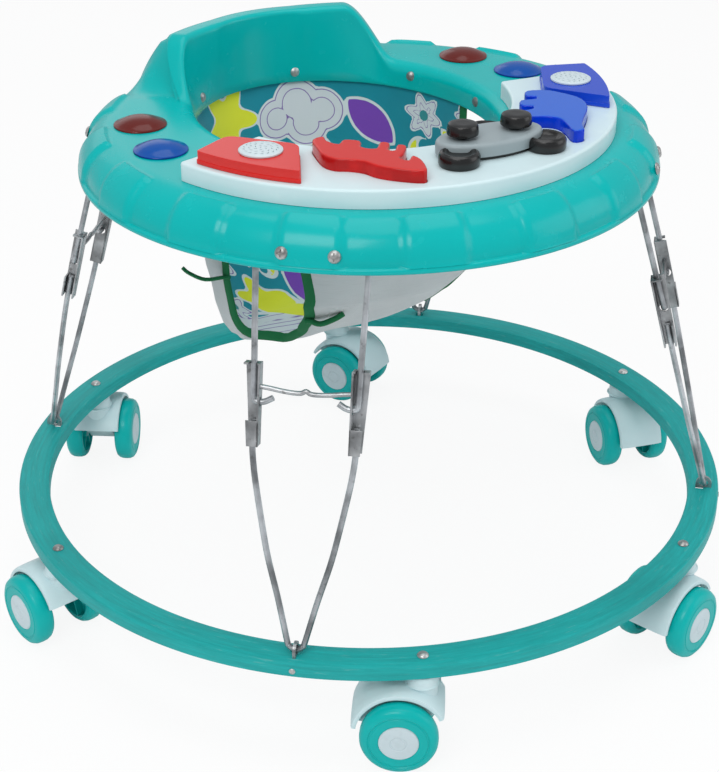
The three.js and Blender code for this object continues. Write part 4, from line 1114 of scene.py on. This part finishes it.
class WALKER_OT_base(bpy.types.Operator):
    """Make the base ring with its foot plates and rivets"""

    bl_idname = "walker.base"
    bl_label = "Base ring"

    def execute(self, context):
        wall, top, bottom, outer = 2.5, RING_TOP, RING_BOTTOM, RING_OUTER
        inner = outer - RING_WIDTH
        ring = turned([
            (inner, bottom), (inner, top - 2), (inner + 0.6, top - 0.6), (inner + 2, top), (inner + 9, top),
            (inner + 18, top), (outer - 2, top), (outer - 0.6, top - 0.6), (outer, top - 2),
            (outer, bottom + 4), (outer, bottom), (outer - wall, bottom), (outer - wall, top - wall - 1),
            (outer - wall - 1, top - wall), (inner + wall + 1, top - wall), (inner + wall, top - wall - 1),
            (inner + wall, bottom),
        ], 240, closed=True)
        hole = prism(circle(STEM_RADIUS, 24), top - 9, top + 4)
        holes = [moved(hole, shift(*polar(RING_MID, a))) for a in STEM_ANGLES]
        near = RING_MID - FOOT_BEND
        slot = prism(rectangle(-4, 4, -near - 7, -near), top - 8, top + 4)
        slots = [moved(slot, turn(a)) for a in LEG_ANGLES]
        piece("ring", carved(ring, *holes, *slots), "base", "ring_teal", "ring_plastic", "base_ring")
        outline = [(-7, -5.2), (7, -5.2), (7, 0), *arc(6.7, range(10, 171, 16)), (-7, 0)]
        plate = carved(prism(outline, -1.25, 1.25), prism(circle(3.9, 24), -5, 5))
        plates = [(plate, turn(a) @ shift(0, -RING_MID, FOOT_Z) @ turn(90) @ turn(90, "X"))
                  for a in LEG_ANGLES]
        piece("foot_plates", merged(*plates), "base", "zinc_steel", "zinc_bracket")
        pin = turned([(0, 1.6), (1.6, 1.3), (2.5, 0.5), (2.6, -0.4), (0, -0.4)], 20)
        pins = [(pin, turn(a) @ shift(0, -outer, bottom + 5) @ turn(90, "X")) for a in LEG_ANGLES]
        piece("ring_pins", merged(*pins), "base", "zinc_steel", "zinc_screw")
        return {"FINISHED"}


# Casters

STEM_RADIUS = 4.45
HOOD_RADIUS = 36
COLLAR_RADIUS = 6.5


def fork_shape():
    """A hooded fork on its swivel axis, with the wheels trailing along X."""
    section = [(22, 33.2), (22, 35.4), (21.4, 36.4), (19, 37), (12, 37.3), (0, 37.4), (-12, 37.3), (-19, 37),
               (-21.4, 36.4), (-22, 35.4), (-22, 33.2), (-19, 33.8), (0, 34.1), (19, 33.8)]
    frames = []
    across = Vector((0, 1, 0))
    for i in range(25):
        angle = math.radians(lerp(6, 156, i / 24))
        flare = 1 + 0.03 * math.cos(math.pi * i / 24) ** 6
        out = Vector((math.cos(angle), 0, math.sin(angle)))
        frames.append(Matrix((across, out * flare, out.cross(across))).transposed().to_4x4())
    hood = loft(frames, section)
    web = prism(arc(HOOD_RADIUS, range(8, 154, 8)) + arc(9, range(195, 346, 15)), -13, 13)
    bevelled(web, [e for e in web.edges if abs(e.verts[0].co.z - e.verts[1].co.z) < 0.01], 1.2)
    axle = turned([(0, -23), (3.6, -23), (4, -22.6), (4, 22.6), (3.6, 23), (0, 23)], 24)
    collar = turned([(0, -16.2), (6.2, -16.2), (COLLAR_RADIUS, -15.9), (COLLAR_RADIUS, 15.9), (6.2, 16.2),
                     (0, 16.2)], 24)
    column = turned([
        (STEM_RADIUS, 13), (12, 13), (12, 30), (12.6, 35), (14.6, 37.4), (13.2, 38.4), (12.6, 40.2),
        (12.4, 44.6), (11.6, 45.9), (10.6, 46.2), (STEM_RADIUS, 46.2)], 40, closed=True)
    trailing = shift(CASTER_TRAIL, 0, AXLE_Z)
    upright = trailing @ turn(90, "X")
    return merged((hood, trailing), (web, upright), (axle, upright), (collar, upright),
                  (column, shift(0, 0, AXLE_Z)))


def wheel_shape():
    """A wheel along Z, with its outer face up and a ribbed hollow behind."""
    tyre = turned([
        (15.9, 7.9), (16.4, 8.4), (22.5, 8.5), (23.2, 7.9), (24, 7.9), (24.6, 8.5), (27, 8.1), (29.4, 6.5),
        (30.7, 3.8), (WHEEL_RADIUS, 0.2), (30.8, -3.4), (29.9, -6.1), (28.4, -7.8), (26.6, -8.5), (25, -8.5),
        (24.4, -7.9), (24, -1.5), (10, -1.5), (9.6, -8), (9.1, -8.5), (4.45, -8.5), (4.45, 3), (15.9, 3),
    ], 64, closed=True)
    rib = prism(rectangle(9.5, 24.2, -0.7, 0.7), -7.6, -1.4)
    return merged(tyre, *((rib, turn(60 * i + 12)) for i in range(6)))


def hub_shape(radius):
    return turned([
        (0, 9.3), (5.2, 9.35), (5.9, 8.9), (6.5, 8.9), (7.1, 9.35), (10.8, 9.2), (radius - 1.6, 8.95),
        (radius - 0.5, 8.6), (radius, 8), (radius, 6), (0, 6),
    ], 56)


class WALKER_OT_casters(bpy.types.Operator):
    """Make the stems, forks and wheels of the six casters"""

    bl_idname = "walker.casters"
    bl_label = "Casters"

    def execute(self, context):
        fork, wheel, hub = fork_shape(), wheel_shape(), hub_shape(mm_of("hub_radius"))
        stem = turned([
            (0, RING_TOP + 3), (1.5, RING_TOP + 2.9), (2.9, RING_TOP + 2.4), (4, RING_TOP + 1.5),
            (4.6, RING_TOP + 0.7), (4.7, RING_TOP + 0.3), (4, RING_TOP + 0.3), (4, RING_TOP - 2.8),
            (8.5, RING_TOP - 2.8), (8.5, RING_BOTTOM - 1.5), (4, RING_BOTTOM - 1.5), (4, AXLE_Z + 12.3),
            (0, AXLE_Z + 12.3),
        ], 32)
        for number, degrees in enumerate(STEM_ANGLES, 1):
            swivel = swivel_frame(number - 1)
            piece(f"stem_{number}", moved(stem, shift(*polar(RING_MID, degrees))), "base", "zinc_steel",
                  "zinc_screw", f"caster_stem_{number}")
            piece(f"fork_{number}", moved(fork, swivel), f"caster_{number}", "caster_white", "white_plastic",
                  f"caster_fork_{number}")
            for side, sign in (("left", 1), ("right", -1)):
                place = swivel @ shift(CASTER_TRAIL, sign * WHEEL_OFFSET, AXLE_Z) @ turn(-90 * sign, "X")
                body = f"wheel_{number}_{side}"
                piece(f"tyre_{number}_{side}", moved(wheel, place), body, "wheel_teal", "wheel_plastic",
                      f"caster_wheel_{number}_{side}")
                piece(f"hub_{number}_{side}", moved(hub, place), body, "caster_white", "hub_plastic")
        return {"FINISHED"}


# Seat

SEAT_OUT = 6.6
CLOTH_COLUMNS = 300
CLOTH_ROWS = 92
# How much of the cloth, from its rim to the bottom's middle, is wall
WALL_SHARE = 0.8


def seat_shares(height):
    """Shares of the hole's width and length, and the middle along the walker, at a height of the cloth."""
    depth = min(1.0, max(0.0, (CLOTH_Z - height) / (CLOTH_Z - SEAT_Z)))
    for low, high in zip(SEAT_SHARES, SEAT_SHARES[1:]):
        if depth <= high[0]:
            step = (depth - low[0]) / (high[0] - low[0])
            length = lerp(low[2], high[2], step)
            return lerp(low[1], high[1], step), length, lerp(SEAT_BOTTOM_SHIFT, HOLE_SHIFT, length)
    return SEAT_SHARES[-1][1], SEAT_SHARES[-1][2], SEAT_BOTTOM_SHIFT


def seat_out(height):
    """How far the cloth hangs outside the hole's edge, at a height."""
    return SEAT_OUT + max(0.0, 1.4 * (height - HOLE_Z) / 8)


def seat_fold(angle, height):
    """Height of the cloth's soft folds at an angle round the seat."""
    below = smooth_step(HOLE_Z - height, 6, 120)
    return mm_of("cloth_fold") * below * (
        0.6 * math.cos(9 * angle + 1.3 * math.sin(2 * angle))
        + 1.1 * noise.noise(Vector((math.cos(angle) * 2.2, math.sin(angle) * 2.2, height * 0.018))))


def seat_x(y, height, sign=-1):
    """Half width of the seat's outer face at a place along it."""
    width, length, middle = seat_shares(height)
    out = seat_out(height)
    fold = 0.0
    for _ in range(4):
        half_width = (HOLE_HALF_WIDTH + out) * width + fold
        along = (y - middle) / ((HOLE_HALF_LENGTH + out) * length + fold)
        across = math.sqrt(max(0.0, 1 - along * along))
        fold = seat_fold(math.atan2(along, sign * across), height)
    return half_width * across


def leg_hole_line():
    """The leg opening's edge as smooth places along the walker and heights."""
    return [tuple(p) for p in spline([(y, SEAT_Z + rise) for y, rise in LEG_HOLE_EDGE], 4)]


def in_outline(y, z, outline):
    inside = False
    for (y1, z1), (y2, z2) in zip(outline, outline[1:] + outline[:1]):
        if (z1 > z) != (z2 > z) and y < y1 + (z - z1) / (z2 - z1) * (y2 - y1):
            inside = not inside
    return inside


MOTIF_COLOURS = {"star": "yellow", "cloud": "white", "leaf": "purple", "flower": "white", "moon": "yellow"}
# Compass angle from the back, height, size and own turn of each motif
MOTIFS = {
    "star": (
        (-14, 372, 27, 12), (86, 350, 16, 0), (172, 366, 24, 30), (-62, 318, 18, 0), (-146, 300, 18, 0),
        (-12, 272, 18, 0), (122, 262, 17, 0), (-42, 226, 15, 0), (112, 222, 14, 0),
    ),
    "cloud": (
        (17, 365, 30, 0), (-92, 356, 22, 10), (140, 352, 26, 0), (82, 302, 22, 0), (22, 262, 24, 0),
        (156, 254, 22, 0), (-78, 224, 18, 0),
    ),
    "leaf": (
        (44, 358, 26, 40), (-44, 380, 20, -30), (-150, 356, 24, 10), (24, 314, 22, 100),
        (-96, 308, 20, 60), (56, 262, 20, 20), (-122, 262, 18, 0), (-8, 228, 18, 90), (-112, 226, 15, 0),
    ),
    "flower": (
        (68, 372, 15, 10), (-64, 366, 15, 0), (-30, 330, 15, 20), (52, 312, 16, 0), (112, 312, 15, 0),
        (174, 306, 16, 0), (-120, 318, 14, 0), (-48, 268, 15, 0), (88, 256, 14, 0), (-160, 256, 15, 0),
        (40, 224, 14, 0), (148, 222, 13, 0), (-146, 222, 13, 0),
    ),
    "moon": (
        (112, 366, 20, 20), (-120, 370, 18, 0), (2, 318, 20, -20), (142, 300, 18, 0), (-84, 262, 18, 0),
        (76, 222, 14, 0), (180, 224, 14, 0),
    ),
}
FILL_KINDS = ("flower", "star", "leaf", "flower", "moon")
FILL_COLUMNS = 24
FILL_ROWS = 11
FILL_PITCH = 15
FILL_LEAST_ROOM = 9
FILL_LARGEST = 12


def motif_gap(kind, a, b, size):
    """Distance in millimetres from a motif's outline, negative inside it."""
    reach, angle = math.hypot(a, b), math.atan2(b, a)
    if kind == "star":
        return reach - size * (0.5 + 0.5 * (0.5 + 0.5 * math.cos(5 * angle)) ** 1.4)
    if kind == "flower":
        return reach - size * (0.78 + 0.22 * math.cos(6 * angle))
    if kind == "leaf":
        return max(math.hypot(a, b - 0.62 * size), math.hypot(a, b + 0.62 * size)) - size * 1.05
    if kind == "moon":
        return max(reach - size, size * 0.82 - math.hypot(a - 0.55 * size, b - 0.2 * size))
    rounds = ((-0.62, -0.1, 0.45), (-0.1, 0.22, 0.55), (0.5, 0.05, 0.48), (0.1, -0.25, 0.5))
    return min(math.hypot(a - x * size, b - y * size) - r * size for x, y, r in rounds)


def degrees_between(first, second):
    return (first - second + 180) % 360 - 180


def filled_motifs():
    """The motifs, and small ones in the gaps between them."""
    made = [(kind, *spot) for kind, spots in MOTIFS.items() for spot in spots]
    scale = bpy.context.scene.walker_sizes.motif_scale
    for i in range(FILL_COLUMNS * FILL_ROWS):
        row, column = divmod(i, FILL_COLUMNS)
        place, height = column * FILL_PITCH - 180 + row % 2 * 7, 232 + row * FILL_PITCH
        room = min(math.hypot(math.radians(degrees_between(place, p)) * 118, height - h) - size * scale
                   for _, p, h, size, _ in made)
        if room > FILL_LEAST_ROOM:
            size = min(FILL_LARGEST, room - 3) / scale
            made.append((FILL_KINDS[i % 5], place, height, size, i * 37))
    return made


def paint_print(bm):
    """Keeps on each vertex how far it is from the print's motifs."""
    layers = {kind: bm.verts.layers.float.new(f"print_{kind}") for kind in PRINT_KINDS}
    motifs = filled_motifs()
    scale = bpy.context.scene.walker_sizes.motif_scale
    far, window = 60.0, 45
    for vert in bm.verts:
        x, y, z = vert.co
        degrees = math.degrees(math.atan2(x, y - HOLE_SHIFT))
        reach = math.hypot(x, y - HOLE_SHIFT)
        found = dict.fromkeys(PRINT_KINDS, far)
        for kind, place, height, size, own_turn in motifs:
            b = z - height
            a = math.radians(degrees_between(degrees, place)) * reach
            if abs(a) > window or abs(b) > window:
                continue
            cos, sin = math.cos(math.radians(own_turn)), math.sin(math.radians(own_turn))
            a, b = a * cos - b * sin, a * sin + b * cos
            size *= scale
            gap = motif_gap(kind, a, b, size)
            for field in (MOTIF_COLOURS[kind], "edge"):
                found[field] = min(found[field], gap)
            if kind == "flower":
                found["dot"] = min(found["dot"], math.hypot(a, b) - 0.26 * size)
        for kind, layer in layers.items():
            vert[layer] = found[kind]


class WALKER_OT_seat(bpy.types.Operator):
    """Make the cloth seat, its leg openings and the tape that binds them"""

    bl_idname = "walker.seat"
    bl_label = "Seat"

    def execute(self, context):
        tape = self.tape()
        cloth = self.cloth()
        for obj in (cloth, tape):
            HOLE_Z * MM
            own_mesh(obj)
        return {"FINISHED"}

    def surface(self, angle, depth):
        """A point of the outer face: depth runs from 0 at the rim to 1 at the bottom's middle."""
        if depth < WALL_SHARE:
            height, flat = lerp(CLOTH_Z, SEAT_Z, (depth / WALL_SHARE) ** 0.92), 1.0
        else:
            height, flat = SEAT_Z, (1 - depth) / (1 - WALL_SHARE)
        width, length, middle = seat_shares(height)
        out = seat_out(height)
        fold = seat_fold(angle, height)
        half_width = (HOLE_HALF_WIDTH + out) * width * flat + fold * min(1, flat * 2)
        half_length = (HOLE_HALF_LENGTH + out) * length * flat + fold * min(1, flat * 2)
        x, y = half_width * math.cos(angle), middle + half_length * math.sin(angle)
        drop = 2.5 * noise.noise(Vector((x * 0.02, y * 0.02, 4.0))) if depth > 0.7 else 0
        return Vector((x, y, height - drop * smooth_step(depth, 0.7, 0.85)))

    def cloth(self):
        bm = bmesh.new()
        bmesh.ops.create_grid(bm, x_segments=CLOTH_COLUMNS, y_segments=CLOTH_ROWS, size=1)
        for vert in bm.verts:
            vert.co = self.surface((vert.co.x + 1) * math.pi, (1 - vert.co.y) / 2)
        bmesh.ops.remove_doubles(bm, verts=bm.verts, dist=20 * WELD)
        line = leg_hole_line()
        outline = [(line[0][0], CLOTH_Z + 5), *line, (line[-1][0], CLOTH_Z + 5)]
        gone = []
        for face in bm.faces:
            centre = face.calc_center_median()
            if abs(centre.x) > LEG_HOLE_REACH and in_outline(centre.y, centre.z, outline):
                gone.append(face)
        bmesh.ops.delete(bm, geom=gone, context="FACES")
        faced_out(bm)
        bmesh.ops.solidify(bm, geom=bm.faces, thickness=mm_of("cloth_thickness"))
        faced_out(bm)
        middle = Vector((0, HOLE_SHIFT, HOLE_Z))
        for face in bm.faces:
            face.material_index = int(face.normal.dot(face.calc_center_median() - middle) < 0)
        paint_print(bm)
        return piece("seat", bm, "tray", "seat_cloth", ["cloth_plain", "cloth_print"], "seat_sling", sharp=80)

    def tape(self):
        half = mm_of("tape_width") / 2
        section = ellipse(2.2, half, 16)
        parts = []
        line = leg_hole_line()
        for sign in (-1, 1):
            points, normals = [], []
            for y, z in line:
                x = seat_x(y, z, sign) - 0.6
                points.append(Vector((sign * x, y, z)))
                width, length, middle = seat_shares(z)
                normals.append(Vector((sign * x / (HOLE_HALF_WIDTH * width) ** 2,
                                       (y - middle) / (HOLE_HALF_LENGTH * length) ** 2, 0)).normalized())
            parts.append(loft(frames_along(points, normals), section))
        for start, way, thick in (
                (Vector((-seat_x(35, 290) - 1, 35, 290)), Vector((-30, 20, 9)), 0.75),
                (Vector((-seat_x(-32, 267) - 1, -35, 266)), Vector((23, -17, 7)), 1.1),
                (Vector((seat_x(-46, 300, 1) + 1, -48, 302)), Vector((17, -12, 6)), 1.1)):
            bend = Vector((-3, 0, -5))
            points = spline([start - way * 0.12, start, start + way * 0.4 + bend,
                             start + way * 0.8 + bend * 0.6, start + way], 5)
            count = len(points)
            frames = frames_along(points, [Vector((0.35, 0.2, 1))] * count)
            for i, matrix in enumerate(frames):
                size = 1 - 0.45 * smooth_step(i / count, 0.75, 1)
                matrix @= Matrix.Diagonal((thick, size, 1, 1))
            parts.append(loft(frames, section))
        hoop, count = 9.1, 96
        points = [Vector((x, HOLE_SHIFT + y, CLOTH_Z - 3.3))
                  for x, y in ellipse(HOLE_HALF_WIDTH + hoop, HOLE_HALF_LENGTH + hoop, count)]
        frames = []
        for i, point in enumerate(points):
            along = (points[(i + 1) % count] - points[i - 1]).normalized()
            out = along.cross(Vector((0, 0, 1)))
            matrix = Matrix((out, Vector((0, 0, -1)), along)).transposed().to_4x4()
            matrix.translation = point
            frames.append(matrix)
        parts.append(loft(frames, rectangle(-0.75, 0.75, -3, 3), closed=True))
        return piece("seat_tape", merged(*parts), "tray", "binding_tape", "binding_tape", "seat_binding",
                     sharp=60)


# Stage

CAMERA_PLACE = (-0.75481, -1.09833, 0.88005)
CAMERA_TURN = (61.6983, 0.0875, -34.1926)
CAMERA_LENS = 77.558
FLOOR_SIZE = 14
FLOOR_DROP = 0.0004
MIDDLE = (0, 0, 0.25)
# Name, place, size, power and colour of each lamp
LAMPS = (
    ("key", (-1.5, -1.1, 2.0), (1.3, 1.0), 22, (1, 0.99, 0.97)),
    ("fill", (1.7, -1.5, 1.1), (1.6, 1.4), 9, (1, 1, 1)),
    ("top", (0.1, 0.0, 2.3), (1.8, 1.4), 13, (1, 1, 1)),
    ("back", (0.4, 2.2, 1.2), (1.6, 1.0), 2.5, (1, 1, 1)),
)


def lamp(name, place, aim, size, power, colour):
    light = bpy.data.lights.new(name, "AREA")
    light.shape = "RECTANGLE"
    light.size, light.size_y = size
    light.energy = power
    light.color = colour
    obj = linked(name, light)
    obj.location = place
    obj.rotation_euler = (Vector(aim) - Vector(place)).to_track_quat("-Z", "Y").to_euler()


class WALKER_OT_stage(bpy.types.Operator):
    """Make the camera, the floor and the soft light"""

    bl_idname = "walker.stage"
    bl_label = "Stage"

    def execute(self, context):
        camera = bpy.data.cameras.new("camera")
        camera.lens = CAMERA_LENS
        camera.clip_start = 0.05
        view = linked("camera", camera)
        view.location = CAMERA_PLACE
        view.rotation_euler = [math.radians(a) for a in CAMERA_TURN]
        context.scene.camera = view
        context.scene.view_settings.view_transform = "Standard"
        bm = bmesh.new()
        bmesh.ops.create_grid(bm, x_segments=4, y_segments=4, size=FLOOR_SIZE)
        mesh = bpy.data.meshes.new("floor")
        bm.to_mesh(mesh)
        bm.free()
        floor = linked("floor", mesh)
        floor.location.z = -FLOOR_DROP
        mesh.materials.append(self.floor_material())
        self.world()
        for name, place, size, power, colour in LAMPS:
            lamp(name, place, MIDDLE, size, power, colour)
        return {"FINISHED"}

    def floor_material(self):
        shade = Shade("floor", Roughness=0.9)
        cloud = shade.noise(2.2, 2)
        shade.set("Base Color", shade.mix(cloud, (0.94, 0.94, 0.94), (0.98, 0.98, 0.98)))
        glow = shade.node("Emission", {"Color": (1, 1, 1, 1), "Strength": 1})
        way = shade.node("LightPath", out="Is Camera Ray")
        mixed = shade.node("MixShader", {
            0: way * 0.9, 1: Link(shade, shade.shader.outputs[0]), 2: glow})
        shade.feed(shade.tree.nodes["Material Output"].inputs["Surface"], mixed)
        return shade.material

    def world(self):
        """A soft grey light, and plain white where the camera sees it."""
        world = bpy.data.worlds.new("world")
        bpy.context.scene.world = world
        world.use_nodes = True
        nodes = Nodes(world.node_tree)
        nodes.tree.nodes.clear()
        soft = nodes.node("Background", {0: (0.93, 0.96, 1, 1), 1: 0.5})
        white = nodes.node("Background", {0: (1, 1, 1, 1), 1: 1})
        way = nodes.node("LightPath", out="Is Camera Ray")
        mixed = nodes.node("MixShader", {0: way, 1: soft, 2: white})
        nodes.feed(nodes.tree.nodes.new("ShaderNodeOutputWorld").inputs[0], mixed)


class WALKER_PT_panel(bpy.types.Panel):
    """Lists the walker's operators, sizes and colours"""

    bl_idname = "WALKER_PT_panel"
    bl_label = "Walker"
    bl_space_type = "VIEW_3D"
    bl_region_type = "UI"
    bl_category = "Walker"

    def draw(self, context):
        for operator in OPERATORS:
            self.layout.operator(operator.bl_idname)
        for group in (context.scene.walker_sizes, context.scene.walker_colours):
            for name in group.bl_rna.properties.keys():
                if name not in ("rna_type", "name"):
                    self.layout.prop(group, name)


OPERATORS = (
    WALKER_OT_stage, WALKER_OT_base, WALKER_OT_casters, WALKER_OT_legs, WALKER_OT_tray, WALKER_OT_toys,
    WALKER_OT_seat,
)
CLASSES = (WalkerSizes, WalkerColours, *OPERATORS, WALKER_PT_panel)


def register():
    for cls in CLASSES:
        bpy.utils.register_class(cls)
    bpy.types.Scene.walker_sizes = bpy.props.PointerProperty(type=WalkerSizes)
    bpy.types.Scene.walker_colours = bpy.props.PointerProperty(type=WalkerColours)


def unregister():
    del bpy.types.Scene.walker_colours
    del bpy.types.Scene.walker_sizes
    for cls in reversed(CLASSES):
        bpy.utils.unregister_class(cls)


def main():
    register()
    for operator in OPERATORS:
        group, name = operator.bl_idname.split(".")
        getattr(getattr(bpy.ops, group), name)()


if __name__ == "__main__":
    main()
